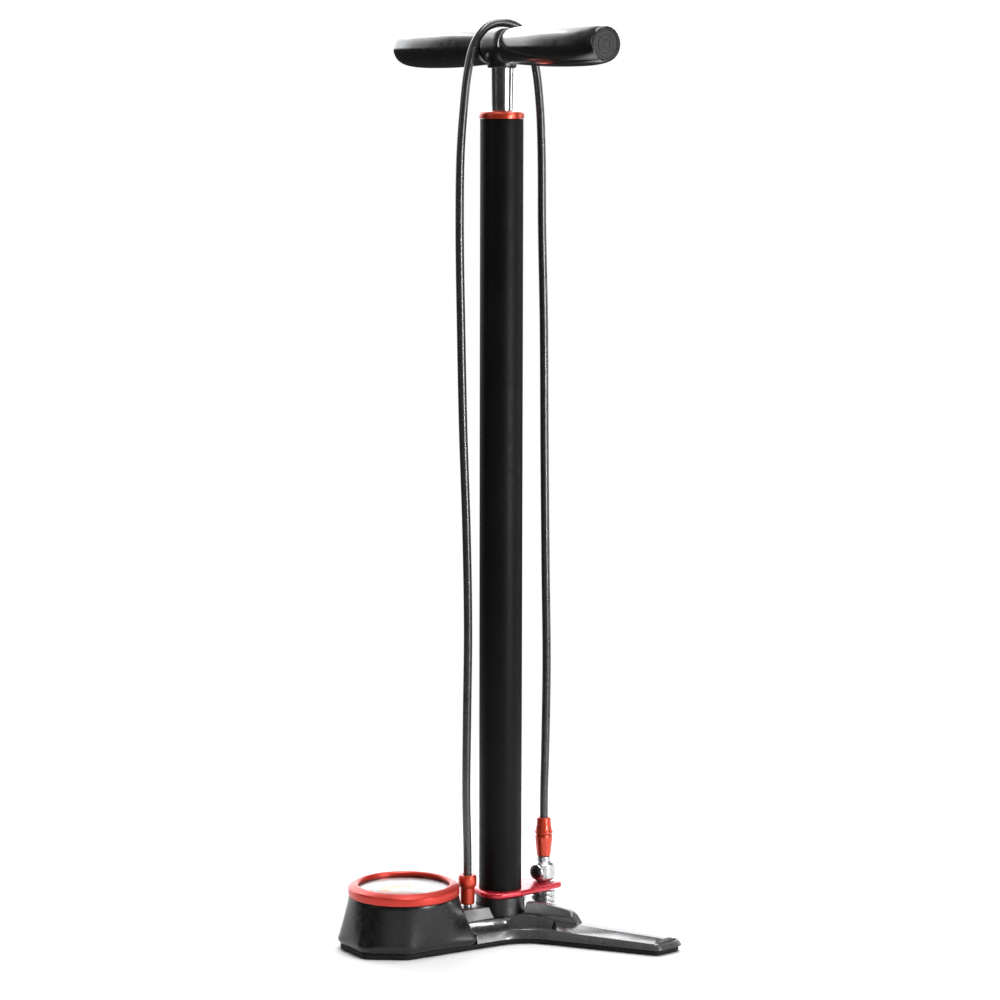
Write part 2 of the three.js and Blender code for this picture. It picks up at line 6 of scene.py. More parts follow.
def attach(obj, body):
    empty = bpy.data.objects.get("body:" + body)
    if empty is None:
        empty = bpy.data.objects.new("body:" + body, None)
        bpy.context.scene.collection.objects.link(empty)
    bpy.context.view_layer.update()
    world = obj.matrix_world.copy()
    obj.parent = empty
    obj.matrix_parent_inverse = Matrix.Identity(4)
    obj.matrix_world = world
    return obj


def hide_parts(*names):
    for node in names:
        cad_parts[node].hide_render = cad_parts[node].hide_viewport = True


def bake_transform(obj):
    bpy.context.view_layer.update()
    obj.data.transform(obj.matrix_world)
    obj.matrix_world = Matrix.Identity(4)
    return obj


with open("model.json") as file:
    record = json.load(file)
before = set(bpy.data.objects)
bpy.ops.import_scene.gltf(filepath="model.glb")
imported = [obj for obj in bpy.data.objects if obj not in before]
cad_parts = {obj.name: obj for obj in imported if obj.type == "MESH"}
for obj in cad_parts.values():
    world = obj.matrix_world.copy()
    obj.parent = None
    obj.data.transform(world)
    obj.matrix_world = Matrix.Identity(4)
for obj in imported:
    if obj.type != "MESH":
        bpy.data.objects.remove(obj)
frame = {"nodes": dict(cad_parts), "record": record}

random.seed(7)
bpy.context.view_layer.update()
SWEEP_L = 2.7
scene = bpy.context.scene
MM = 0.001

# ------------------------------------------------------------ CAD dimensions
SOLE_T, CAST_Z = 4.0, 4.3
G = (0.0, -79.0)
FIT = (0.0, -27.2)
CH = (0.0, 36.6)
HANDLE_Z, HANDLE_L, HANDLE_TURN = 622.3, 122.6, 2.0
LEG_DEG = (30, 150)
POD_BACK = -41.6

# -------------------------------------------------------------------- camera
AZ, PITCH, ROLL = 58.0, 7.13, 0.12
CAM_D, CAM_H, CAM_F = 2230.0, 587.3, 3218.0
cam = bpy.data.objects.new("photo_camera", bpy.data.cameras.new("photo_camera"))
scene.collection.objects.link(cam)
cam.data.sensor_width = 36
cam.data.lens = 36 * CAM_F / 1000
cam.data.clip_start, cam.data.clip_end = 0.1, 60
a = math.radians(AZ)
cam.location = (CAM_D * math.sin(a) * MM, -CAM_D * math.cos(a) * MM, CAM_H * MM)
look = Vector((-math.sin(a) * math.cos(math.radians(PITCH)), math.cos(a) * math.cos(math.radians(PITCH)), -math.sin(math.radians(PITCH))))
cam.rotation_mode = "QUATERNION"
look.rotate(Matrix.Rotation(math.radians(0.018), 3, "Z"))
cam.rotation_quaternion = look.to_track_quat("-Z", "Y") @ Matrix.Rotation(math.radians(ROLL), 3, "Z").to_quaternion()
scene.camera = cam
scene.view_settings.view_transform = "Standard"
scene.view_settings.look = "None"

# ---------------------------------------------------------------- materials
def new_material(name):
    m = bpy.data.materials.new(name)
    m.use_nodes = True
    nt = m.node_tree
    for n in list(nt.nodes):
        nt.nodes.remove(n)
    out = nt.nodes.new("ShaderNodeOutputMaterial")
    p = nt.nodes.new("ShaderNodeBsdfPrincipled")
    nt.links.new(p.outputs[0], out.inputs[0])
    return m, nt, p


def material(name, colour, rough=0.4, metal=0.0, coat=0.0, coat_rough=0.1, spec=0.5, sheen=0.0,
             vary=0.08, vary_scale=60, rough_vary=0.06, rough_scale=220,
             grain=(900, 900, 900), grain_depth=0.00003, grain_strength=0.2, grain_detail=3,
             second=None, dust=0.0, aniso=0.0):
    """Colour with soft variation, roughness with patches, and a fine bump."""
    m, nt, p = new_material(name)
    p.inputs["Metallic"].default_value = metal
    p.inputs["Specular IOR Level"].default_value = spec
    p.inputs["Coat Weight"].default_value = coat
    p.inputs["Coat Roughness"].default_value = coat_rough
    p.inputs["Sheen Weight"].default_value = sheen
    p.inputs["Anisotropic"].default_value = aniso
    tc = nt.nodes.new("ShaderNodeTexCoord")
    n1 = nt.nodes.new("ShaderNodeTexNoise")
    n1.inputs["Scale"].default_value = vary_scale
    n1.inputs["Detail"].default_value = 4
    nt.links.new(tc.outputs["Object"], n1.inputs["Vector"])
    ramp = nt.nodes.new("ShaderNodeValToRGB")
    c = [max(0.0, x * (1 - vary)) for x in colour]
    d = [min(1.0, x * (1 + vary)) for x in colour]
    ramp.color_ramp.elements[0].position, ramp.color_ramp.elements[1].position = 0.3, 0.7
    ramp.color_ramp.elements[0].color = (*c, 1)
    ramp.color_ramp.elements[1].color = (*d, 1)
    nt.links.new(n1.outputs["Fac"], ramp.inputs["Fac"])
    nt.links.new(ramp.outputs["Color"], p.inputs["Base Color"])
    n2 = nt.nodes.new("ShaderNodeTexNoise")
    n2.inputs["Scale"].default_value = rough_scale
    n2.inputs["Detail"].default_value = 5
    nt.links.new(tc.outputs["Object"], n2.inputs["Vector"])
    mr = nt.nodes.new("ShaderNodeMapRange")
    mr.inputs["From Min"].default_value, mr.inputs["From Max"].default_value = 0.3, 0.7
    mr.inputs["To Min"].default_value, mr.inputs["To Max"].default_value = max(0.02, rough - rough_vary), rough + rough_vary
    nt.links.new(n2.outputs["Fac"], mr.inputs["Value"])
    nt.links.new(mr.outputs["Result"], p.inputs["Roughness"])
    if grain_strength:
        mp = nt.nodes.new("ShaderNodeMapping")
        mp.inputs["Scale"].default_value = grain
        n3 = nt.nodes.new("ShaderNodeTexNoise")
        n3.inputs["Scale"].default_value = 1.0
        n3.inputs["Detail"].default_value = grain_detail
        nt.links.new(tc.outputs["Object"], mp.inputs["Vector"])
        nt.links.new(mp.outputs["Vector"], n3.inputs["Vector"])
        b = nt.nodes.new("ShaderNodeBump")
        b.inputs["Strength"].default_value = grain_strength
        b.inputs["Distance"].default_value = grain_depth
        nt.links.new(n3.outputs["Fac"], b.inputs["Height"])
        nt.links.new(b.outputs["Normal"], p.inputs["Normal"])
    return m


TURN_Z = (25, 25, 5200)
M = {}
M["sole"] = material("sole_rubber", (0.008, 0.008, 0.008), 0.7, spec=0.2, grain=(1800,) * 3, grain_depth=0.00006, grain_strength=0.4)
M["cast"] = material("cast_coat", (0.062, 0.063, 0.065), 0.30, metal=0.35, coat=0.7, coat_rough=0.18, vary=0.16, vary_scale=140,
                     grain=(1500,) * 3, grain_depth=0.00003, grain_strength=0.2, grain_detail=4)
M["pod"] = material("pod_charcoal", (0.0035, 0.0035, 0.004), 0.28, coat=0.2, coat_rough=0.2, spec=0.32, vary=0.15, vary_scale=45,
                    grain=(2200,) * 3, grain_depth=0.00002, grain_strength=0.15)
M["red"] = material("red_anodised", (0.56, 0.048, 0.018), 0.30, metal=0.55, coat=0.35, coat_rough=0.18, vary=0.06, vary_scale=90,
                    grain=TURN_Z, grain_depth=0.00001, grain_strength=0.25)
M["red_ring"] = material("red_anodised_ring", (0.50, 0.026, 0.014), 0.34, metal=0.5, coat=0.2, coat_rough=0.25, vary=0.05, vary_scale=70,
                         grain=TURN_Z, grain_depth=0.00001, grain_strength=0.2)
M["red_flat"] = material("red_anodised_plate", (0.55, 0.022, 0.040), 0.28, metal=0.55, coat=0.5, coat_rough=0.15, vary=0.06, vary_scale=90,
                         grain=(1300,) * 3, grain_depth=0.00002, grain_strength=0.2)
M["barrel"] = material("barrel_powder_coat", (0.0042, 0.0042, 0.0042), 0.46, vary=0.3, vary_scale=28, rough_vary=0.06,
                       grain=(1500,) * 3, grain_depth=0.00005, grain_strength=0.25, spec=0.10)
M["socket"] = material("socket_black", (0.009, 0.009, 0.009), 0.36, spec=0.4, vary=0.15, grain=(1800,) * 3, grain_depth=0.00004, grain_strength=0.25)
M["rod"] = material("rod_polished", (0.62, 0.62, 0.63), 0.2, metal=1.0, vary=0.03, rough_vary=0.03, rough_scale=90,
                    grain=(900, 900, 12), grain_depth=0.00001, grain_strength=0.12)
M["silver"] = material("silver_satin", (0.50, 0.50, 0.51), 0.27, metal=1.0, vary=0.05, rough_vary=0.06,
                       grain=TURN_Z, grain_depth=0.000012, grain_strength=0.35)
M["hub"] = material("hub_black", (0.008, 0.008, 0.008), 0.36, coat=0.15, coat_rough=0.3, vary=0.1,
                    grain=(1100,) * 3, grain_depth=0.00002, grain_strength=0.12)
M["grip"] = material("grip_black", (0.007, 0.007, 0.007), 0.2, coat=1.0, coat_rough=0.08, spec=0.9, vary=0.15, vary_scale=35,
                     grain=(1300,) * 3, grain_depth=0.00003, grain_strength=0.14)
M["endcap"] = material("end_cap_grey", (0.022, 0.022, 0.023), 0.5, spec=0.3, vary=0.15, grain=(1600,) * 3, grain_depth=0.00004, grain_strength=0.3)
M["hose"] = material("hose_rubber", (0.022, 0.022, 0.024), 0.30, coat=0.6, coat_rough=0.22, vary=0.15, vary_scale=120,
                     grain=(1600, 1600, 300), grain_depth=0.00003, grain_strength=0.3)
M["dial"] = material("dial_white", (0.46, 0.46, 0.455), 0.6, spec=0.08, vary=0.012, vary_scale=80, rough_vary=0.03, grain=(2600,) * 3, grain_depth=0.00001, grain_strength=0.1)
M["ink"] = material("dial_ink", (0.012, 0.012, 0.014), 0.7, spec=0.04, vary=0.1, grain_strength=0.05)
M["ink_grey"] = material("dial_ink_grey", (0.10, 0.105, 0.115), 0.7, spec=0.04, vary=0.1, grain_strength=0.05)
M["ink_orange"] = material("dial_ink_orange", (0.62, 0.13, 0.015), 0.7, spec=0.04, vary=0.06, grain_strength=0.05)
M["needle"] = material("needle_paint", (0.012, 0.012, 0.012), 0.6, spec=0.08, vary=0.1, grain_strength=0.05)
M["brass"] = material("brass", (0.55, 0.38, 0.14), 0.28, metal=1.0, vary=0.06, grain=TURN_Z, grain_depth=0.00001, grain_strength=0.2)
M["steel"] = material("steel", (0.5, 0.5, 0.51), 0.3, metal=1.0, vary=0.05, grain=TURN_Z, grain_depth=0.00001, grain_strength=0.25)
M["seal"] = material("seal_rubber", (0.012, 0.012, 0.012), 0.6, vary=0.12, grain=(1600,) * 3, grain_depth=0.00004, grain_strength=0.3)
M["bush"] = material("bush_plastic", (0.03, 0.03, 0.03), 0.45, vary=0.1, grain=(1600,) * 3, grain_strength=0.15)
M["button"] = material("button_black", (0.008, 0.008, 0.008), 0.35, coat=0.2, vary=0.1, grain=(1800,) * 3, grain_depth=0.00003, grain_strength=0.2)


def clear_material(name):
    m, nt, p = new_material(name)
    p.inputs["Base Color"].default_value = (0.97, 0.98, 0.98, 1)
    p.inputs["Transmission Weight"].default_value = 1.0
    p.inputs["IOR"].default_value = 1.18
    tc = nt.nodes.new("ShaderNodeTexCoord")
    n = nt.nodes.new("ShaderNodeTexNoise")
    n.inputs["Scale"].default_value = 60
    nt.links.new(tc.outputs["Object"], n.inputs["Vector"])
    mr = nt.nodes.new("ShaderNodeMapRange")
    mr.inputs["To Min"].default_value, mr.inputs["To Max"].default_value = 0.015, 0.05
    nt.links.new(n.outputs["Fac"], mr.inputs["Value"])
    nt.links.new(mr.outputs["Result"], p.inputs["Roughness"])
    out = nt.nodes["Material Output"]
    tr = nt.nodes.new("ShaderNodeBsdfTransparent")
    lp = nt.nodes.new("ShaderNodeLightPath")
    mix = nt.nodes.new("ShaderNodeMixShader")
    nt.links.new(lp.outputs["Is Shadow Ray"], mix.inputs[0])
    nt.links.new(p.outputs[0], mix.inputs[1])
    nt.links.new(tr.outputs[0], mix.inputs[2])
    nt.links.new(mix.outputs[0], out.inputs[0])
    return m


M["lens"] = clear_material("lens_clear")

# --------------------------------------------------------------- mesh makers
def finish_mesh(me, angle=40):
    bm = bmesh.new()
    bm.from_mesh(me)
    bmesh.ops.remove_doubles(bm, verts=bm.verts, dist=1e-6)
    bmesh.ops.dissolve_degenerate(bm, edges=bm.edges, dist=1e-7)
    bmesh.ops.recalc_face_normals(bm, faces=bm.faces)
    bm.to_mesh(me)
    bm.free()
    me.polygons.foreach_set("use_smooth", [True] * len(me.polygons))
    me.set_sharp_from_angle(angle=math.radians(angle))
    me.update()


def piece(name, verts, faces, mat, body, node=None, slot=None, angle=40):
    me = bpy.data.meshes.new(name)
    me.from_pydata([Vector(v) * MM for v in verts], [], faces)
    me.validate()
    finish_mesh(me, angle)
    o = bpy.data.objects.new(name, me)
    scene.collection.objects.link(o)
    o.data.materials.append(mat)
    if body:
        settle(o, body, node, slot)
    return o


def settle(o, body, node=None, slot=None):
    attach(o, body)
    nodes = [] if node is None else ([node] if isinstance(node, str) else list(node))
    if nodes:
        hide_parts(*nodes)
        slot = slot or slot_of[nodes[0]]
    return o


slot_of = {s["node"]: s["material_slot"] for s in frame["record"]["subparts"]}


def fillet(points, closed=False, steps=6):
    """[x, y, radius] corners to a smooth 2D line."""
    out, n = [], len(points)
    for i, q in enumerate(points):
        x, y = q[0], q[1]
        r = q[2] if len(q) > 2 else 0
        if not r or (not closed and i in (0, n - 1)):
            out.append((x, y))
            continue
        p = Vector((x, y))
        u = (Vector(points[(i - 1) % n][:2]) - p).normalized()
        v = (Vector(points[(i + 1) % n][:2]) - p).normalized()
        half = math.acos(max(-1, min(1, u.dot(v)))) / 2
        if half > math.radians(89.5):
            out.append((x, y))
            continue
        t = r / math.tan(half)
        lim = 0.48 * min((Vector(points[(i - 1) % n][:2]) - p).length, (Vector(points[(i + 1) % n][:2]) - p).length)
        if t > lim:
            r, t = r * lim / t, lim
        c = p + (u + v).normalized() * (r / math.sin(half))
        s, e = p + u * t, p + v * t
        a0 = math.atan2(s.y - c.y, s.x - c.x)
        a1 = math.atan2(e.y - c.y, e.x - c.x)
        while a1 - a0 > math.pi:
            a1 -= 2 * math.pi
        while a1 - a0 < -math.pi:
            a1 += 2 * math.pi
        k = max(2, int(math.ceil(steps * abs(a1 - a0) / (math.pi / 2))))
        for j in range(k + 1):
            w = a0 + (a1 - a0) * j / k
            out.append((c.x + r * math.cos(w), c.y + r * math.sin(w)))
    return out


def turned(profile, seg=96, closed=True, steps=6, at=(0, 0)):
    """Verts and faces of a turned solid about Z. profile: [radius, z, corner radius]. closed: a ring profile; else it starts and ends on the axis."""
    pts = fillet(profile, closed, steps)
    verts, faces, rows = [], [], []
    for r, z in pts:
        if r < 1e-6:
            rows.append([len(verts)])
            verts.append((at[0], at[1], z))
        else:
            rows.append(list(range(len(verts), len(verts) + seg)))
            for i in range(seg):
                w = 2 * math.pi * i / seg
                verts.append((at[0] + r * math.cos(w), at[1] + r * math.sin(w), z))
    n = len(rows)
    for k in range(n if closed else n - 1):
        a_, b_ = rows[k], rows[(k + 1) % n]
        if len(a_) == 1 and len(b_) == 1:
            continue
        for i in range(seg):
            j = (i + 1) % seg
            if len(a_) == 1:
                faces.append((a_[0], b_[j], b_[i]))
            elif len(b_) == 1:
                faces.append((a_[i], a_[j], b_[0]))
            else:
                faces.append((a_[i], a_[j], b_[j], b_[i]))
    return verts, faces


def moved(vf, m):
    return [tuple(m @ Vector(v)) for v in vf[0]], vf[1]


def loft(rings, cap=True):
    n = len(rings[0])
    verts = [p for r in rings for p in r]
    faces = []
    for k in range(len(rings) - 1):
        for i in range(n):
            j = (i + 1) % n
            faces.append((k * n + i, k * n + j, (k + 1) * n + j, (k + 1) * n + i))
    if cap:
        faces.append(tuple(range(n - 1, -1, -1)))
        o = (len(rings) - 1) * n
        faces.append(tuple(o + i for i in range(n)))
    return verts, faces


def inset(pts, d):
    n, out = len(pts), []
    for i in range(n):
        a_, p, b_ = Vector(pts[i - 1]), Vector(pts[i]), Vector(pts[(i + 1) % n])
        u, v = (p - a_).normalized(), (b_ - p).normalized()
        nu, nv = Vector((-u.y, u.x)), Vector((-v.y, v.x))
        m = (nu + nv).normalized()
        out.append(tuple(p + m * (d / max(0.4, m.dot(nu)))))
    return out


def inset_outline(corners, d, steps=10, least=0.6):
    """The filleted outline moved inwards by d, each fillet kept concentric."""
    n, out = len(corners), []
    for i in range(n):
        p = Vector(corners[i][:2])
        u = (p - Vector(corners[i - 1][:2])).normalized()
        v = (Vector(corners[(i + 1) % n][:2]) - p).normalized()
        nu, nv = Vector((-u.y, u.x)), Vector((-v.y, v.x))
        m = (nu + nv).normalized()
        q = p + m * (d / max(0.3, m.dot(nu)))
        r = corners[i][2] if len(corners[i]) > 2 else 0
        if r:
            r = max(least, r - d) if u.x * v.y - u.y * v.x > 0 else r + d
        out.append([q.x, q.y, r])
    return fillet(out, True, steps)


def resample(pts, step):
    out = []
    for i, p in enumerate(pts):
        q = pts[(i + 1) % len(pts)]
        d = math.dist(p, q)
        k = max(1, int(round(d / step)))
        out += [(p[0] + (q[0] - p[0]) * j / k, p[1] + (q[1] - p[1]) * j / k) for j in range(k)]
    return out


def flat(pts, z):
    return [(p[0], p[1], z(p[0], p[1]) if callable(z) else z) for p in pts]


def join(*parts):
    verts, faces = [], []
    for v, f in parts:
        o = len(verts)
        verts += v
        faces += [tuple(i + o for i in q) for q in f]
    return verts, faces


def temp(name, vf):
    me = bpy.data.meshes.new(name)
    me.from_pydata([Vector(v) * MM for v in vf[0]], [], vf[1])
    me.validate()
    bm = bmesh.new()
    bm.from_mesh(me)
    bmesh.ops.remove_doubles(bm, verts=bm.verts, dist=1e-7)
    bmesh.ops.triangulate(bm, faces=[f for f in bm.faces if len(f.verts) > 4])
    bmesh.ops.recalc_face_normals(bm, faces=bm.faces)
    bm.to_mesh(me)
    bm.free()
    o = bpy.data.objects.new(name, me)
    scene.collection.objects.link(o)
    return o


def boolean(o, tool, op, solver="MANIFOLD"):
    dg = bpy.context.evaluated_depsgraph_get()
    for way in (solver, "EXACT"):
        md = o.modifiers.new("b", "BOOLEAN")
        md.operation, md.object, md.solver = op, tool, way
        dg.update()
        me = bpy.data.meshes.new_from_object(o.evaluated_get(dg))
        o.modifiers.clear()
        if len(me.polygons):
            break
        print("boolean fell back on", o.name, op)
    o.data = me
    bpy.data.objects.remove(tool)
    return o


def applied(o, make):
    make(o)
    dg = bpy.context.evaluated_depsgraph_get()
    me = bpy.data.meshes.new_from_object(o.evaluated_get(dg))
    o.modifiers.clear()
    o.data = me
    return o


def remesh(o, voxel, smooth=6, factor=0.5):
    def make(o):
        r = o.modifiers.new("r", "REMESH")
        r.mode, r.voxel_size, r.adaptivity = "VOXEL", voxel * MM, 0.0
        r.use_smooth_shade = True
        s = o.modifiers.new("s", "SMOOTH")
        s.factor, s.iterations = factor, smooth
    return applied(o, make)


def done(o, mat, body, node=None, slot=None, angle=40):
    o.data.materials.clear()
    o.data.materials.append(mat)
    o.data.polygons.foreach_set("use_smooth", [True] * len(o.data.polygons))
    if angle:
        o.data.set_sharp_from_angle(angle=math.radians(angle))
    return settle(o, body, node, slot)


def lathe_piece(name, profile, mat, body, node, seg=96, closed=True, at=(0, 0), steps=6, m=None, angle=40):
    vf = turned(profile, seg, closed, steps, at)
    if m is not None:
        vf = moved(vf, m)
    return piece(name, vf[0], vf[1], mat, body, node, angle=angle)


# ---------------------------------------------------------------------- hose
HOSE_R = 2.95
ROUTE = [
    (0, -27.2, 38.6), (0.1, -27.3, 60), (0, -28.2, 100), (0, -27.6, 160), (0.2, -27.0, 220), (0.2, -28.4, 290), (0, -31.0, 360), (-0.2, -32.6, 430),
    (-0.2, -33.8, 500), (0, -33.2, 550), (0.4, -31.0, 580), (0.6, -28.0, 604), (0.4, -22.4, 623.5), (0.2, -12.6, 635.0), (0, 0.6, 638.28), (-0.2, 13.6, 635.0), (-0.4, 23.2, 624),
    (-0.4, 28.2, 606), (-0.2, 31.2, 582), (0, 32.6, 550), (0, 33.2, 500), (0, 35.0, 430), (0, 36.0, 340), (0, 37.2, 260), (0, 38.4, 190), (0, 37.6, 130), (0, 36.7, 95), (0, 36.6, 72),
]


def smooth_path(points, step):
    """Centripetal Catmull-Rom through the points, resampled at even steps."""
    P = [np.array(p, float) for p in points]
    P = [2 * P[0] - P[1]] + P + [2 * P[-1] - P[-2]]
    fine = []
    for i in range(1, len(P) - 2):
        p0, p1, p2, p3 = P[i - 1], P[i], P[i + 1], P[i + 2]
        t0 = 0.0
        t1 = t0 + np.linalg.norm(p1 - p0) ** 0.5
        t2 = t1 + np.linalg.norm(p2 - p1) ** 0.5
        t3 = t2 + np.linalg.norm(p3 - p2) ** 0.5
        for t in np.linspace(t1, t2, 24, endpoint=False):
            a1 = (t1 - t) / (t1 - t0) * p0 + (t - t0) / (t1 - t0) * p1
            a2 = (t2 - t) / (t2 - t1) * p1 + (t - t1) / (t2 - t1) * p2
            a3 = (t3 - t) / (t3 - t2) * p2 + (t - t2) / (t3 - t2) * p3
            b1 = (t2 - t) / (t2 - t0) * a1 + (t - t0) / (t2 - t0) * a2
            b2 = (t3 - t) / (t3 - t1) * a2 + (t - t1) / (t3 - t1) * a3
            fine.append((t2 - t) / (t2 - t1) * b1 + (t - t1) / (t2 - t1) * b2)
    fine.append(P[-2])
    fine = np.array(fine)
    d = np.concatenate([[0], np.cumsum(np.linalg.norm(np.diff(fine, axis=0), axis=1))])
    k = max(2, int(round(d[-1] / step)))
    s = np.linspace(0, d[-1], k + 1)
    return np.stack([np.interp(s, d, fine[:, c]) for c in range(3)], 1), d[-1]


def tube(path, radius, sides=20, ripple=None):
    n = len(path)
    tan = np.gradient(path, axis=0)
    tan /= np.linalg.norm(tan, axis=1)[:, None]
    u = np.array([1.0, 0, 0])
    verts, faces = [], []
    for i in range(n):
        u = u - tan[i] * (u @ tan[i])
        u /= np.linalg.norm(u)
        v = np.cross(tan[i], u)
        r = radius if ripple is None else radius * ripple(i)
        for k in range(sides):
            w = 2 * math.pi * k / sides
            verts.append(tuple(path[i] + r * (u * math.cos(w) + v * math.sin(w))))
    for i in range(n - 1):
        for k in range(sides):
            j = (k + 1) % sides
            faces.append((i * sides + k, i * sides + j, (i + 1) * sides + j, (i + 1) * sides + k))
    faces.append(tuple(range(sides - 1, -1, -1)))
    faces.append(tuple((n - 1) * sides + k for k in range(sides)))
    return verts, faces


hose_path, hose_len = smooth_path(ROUTE, 4.0)
hv, hf = tube(hose_path, HOSE_R, 24)
hose = piece("hose_tube", hv, hf, M["hose"], None, angle=60)
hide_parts("hose")

# -------------------------------------------------------- hose end fittings
lathe_piece("hose_neck", [[1.2, 17.7], [2.9, 17.7, 0.2], [2.9, 21.4, 0.3], [2.9, 23.2, 0.3], [1.2, 23.2]], M["silver"], "base", "hose_outlet_neck", at=FIT, seg=64)
lathe_piece("hose_fitting_red", [[1.4, 23.5], [4.7, 23.5, 0.4], [5.05, 24.4, 0.4], [5.05, 35.2, 0.5], [6.1, 36.6, 0.6], [6.45, 38.4, 0.8], [6.45, 42.6, 1.0], [5.7, 44.5, 0.7], [3.4, 44.5, 0.3], [3.4, 38], [1.4, 38]],
            M["red"], "base", "hose_fitting", at=FIT, seg=96)
lathe_piece("hose_ferrule_red", [[3.3, 66.4], [5.9, 66.4, 0.3], [6.5, 67.2, 0.3], [6.45, 68.0, 0.35], [5.7, 69.4, 0.6], [5.25, 72.6, 1.5], [4.9, 77.3, 0.4], [4.5, 78.2, 0.3], [3.3, 78.2]],
            M["red"], "base", "hose_end_ferrule", at=CH, seg=96)
lathe_piece("hose_coupler_red", [[1.5, 50.4], [4.7, 50.4, 0.3], [5.0, 51.0, 0.5], [5.35, 55.2, 2], [6.05, 61.5, 2.5], [6.1, 64.4, 0.6], [5.6, 66.1, 0.3], [1.5, 66.1]],
            M["red"], "base", "hose_coupler", at=CH, seg=96)

# -------------------------------------------------------------------- barrel
lathe_piece("barrel_shell", [[13.5, 12.3], [15, 12.3, 0.4], [15, 572.7, 0.4], [13.5, 572.7]], M["barrel"], "base", "barrel_tube", seg=160)
lathe_piece("socket_collar", [[15.35, 14.3], [17.9, 14.3, 0.5], [17.85, 15.6, 0.6], [17.2, 21.0, 4], [17.0, 26.8, 0.7], [16.4, 27.6, 0.4], [15.35, 27.6]], M["socket"], "base", "barrel_socket", seg=128)
lathe_piece("cap_red", [[10.4, 552], [13.2, 552], [13.2, 573.0], [15.6, 573.0, 0.25], [15.6, 576.4, 0.8], [14.4, 577.5, 1.2], [9.8, 578.6, 0.6], [8.6, 578.4, 0.3], [8.6, 575.6], [10.4, 575.6]],
            M["red"], "base", "barrel_cap", seg=128)
lathe_piece("rod_shaft", [[3.4, 47.4], [7.2, 47.4], [7.8, 48.2, 0.3], [7.8, 581, 8], [8.1, 594, 8], [8.35, 606, 4], [8.35, 613], [6.3, 613], [6.3, 60], [3.4, 56]], M["rod"], "handle", "piston_rod", seg=128)

# -------------------------------------------------------------------- handle
HM = Matrix.Translation((0, 0, HANDLE_Z)) @ Matrix.Rotation(math.radians(HANDLE_TURN), 4, "Z")
ALONG = HM @ Matrix.Rotation(math.radians(90), 4, "Y")
hub_a = moved(turned([[0, -10.9], [10.4, -10.9, 0.8], [11.8, -9.6, 1.6], [12.0, -6.5, 2], [12.0, 6.5, 2], [11.8, 9.6, 1.6], [10.4, 10.9, 0.8], [0, 10.9]], 96, False), ALONG)
hub_b = moved(turned([[0, -15.0], [9.3, -15.0, 0.6], [10.0, -14.0, 1.0], [10.2, -11.5, 2], [11.2, -7.5, 2], [11.3, 0], [0, 0]], 96, False), HM)
hub = temp("handle_hub_shell", hub_a)
hub = boolean(hub, temp("t", hub_b), "UNION")
hub = remesh(hub, 0.42, 8)
bore = temp("t", moved(turned([[0, -20], [6.4, -20], [6.4, 20], [0, 20]], 64, False), ALONG))
hub = boolean(hub, bore, "DIFFERENCE")
bore = temp("t", moved(turned([[0, -30], [8.7, -30], [8.7, -8.9], [0, -8.9]], 64, False), HM))
hub = boolean(hub, bore, "DIFFERENCE")
done(hub, M["hub"], "handle", "handle_hub", angle=50)

L = HANDLE_L
curve, _ = smooth_path([(r, x, 0) for x, r in [(13.2, 12.3), (24, 12.9), (38, 13.6), (52, 14.2), (66, 14.5), (86, 14.5), (98, 14.3), (108, 13.8), (116.5, 12.9), (119.8, 12.25)]], 2.2)
grip_prof = [[6.4, 11.6], [10.6, 11.6, 0.5], [11.9, 12.0, 0.6]] + [[r, x] for r, x, _z in curve] + [[11.6, 122.0, 0.9], [11.05, 122.2, 0.1], [11.05, 118.6], [6.4, 118.6]]
grip_vf = turned(grip_prof, 128)
piece("grip_right_shell", *moved(grip_vf, ALONG), M["grip"], "handle", "grip_right")
MIRROR = HM @ Matrix.Rotation(math.pi, 4, "Z") @ Matrix.Rotation(math.radians(90), 4, "Y")
piece("grip_left_shell", *moved(grip_vf, MIRROR), M["grip"], "handle", "grip_left")
cap_vf = turned([[0, 119.0], [10.75, 119.0], [10.75, 122.1, 0.5], [9.2, 122.35, 0.3], [8.9, 121.7, 0.2], [6.2, 121.7, 0.2], [5.9, 122.1, 0.2], [3.2, 122.2, 0.2], [2.9, 121.8, 0.2], [0, 121.8]], 96, False, 4)
piece("end_cap_right_disc", *moved(cap_vf, ALONG), M["endcap"], "handle", "end_cap_right")
piece("end_cap_left_disc", *moved(cap_vf, MIRROR), M["endcap"], "handle", "end_cap_left")

# ---------------------------------------------------------------------- base
OUT = [[0, -123.2, 0], [18, -123.2, 8], [37, -97, 12], [37, -4.0, 34], [117.6, 55.0, 7], [113.4, 83.0, 7], [28, 46.4, 30],
       [0, 43.5, 0], [-28, 46.4, 30], [-113.4, 83.0, 7], [-117.6, 55.0, 7], [-37, -4.0, 34], [-37, -97, 12], [-18, -123.2, 8]]
outline = fillet(OUT, True, 10)
sole_rings = [flat(inset(outline, 2.9), 0.0), flat(inset(outline, 2.3), 0.5), flat(inset(outline, 2.2), 3.7), flat(inset(outline, 2.5), 4.0)]
piece("sole_moulding", *loft(sole_rings), M["sole"], "base", "base_sole", angle=60)


def leg_t(x, y):
    return min(1, max(0, (math.hypot(x, y) - 46) / 84)) * (1 if y > 0 else 0)


def rim_z(x, y):
    return 10.6 - 2.4 * leg_t(x, y)


dense = resample(outline, 6)
slab = temp("casting_shell", loft([flat(inset(dense, 0.3), CAST_Z), flat(dense, CAST_Z + 0.4), flat(inset(dense, 0.15), 5.2),
                                   flat(inset(dense, 1.9), lambda x, y: rim_z(x, y) - 0.55), flat(inset(dense, 2.4), lambda x, y: rim_z(x, y) - 0.1), flat(inset(dense, 3.0), rim_z)]))


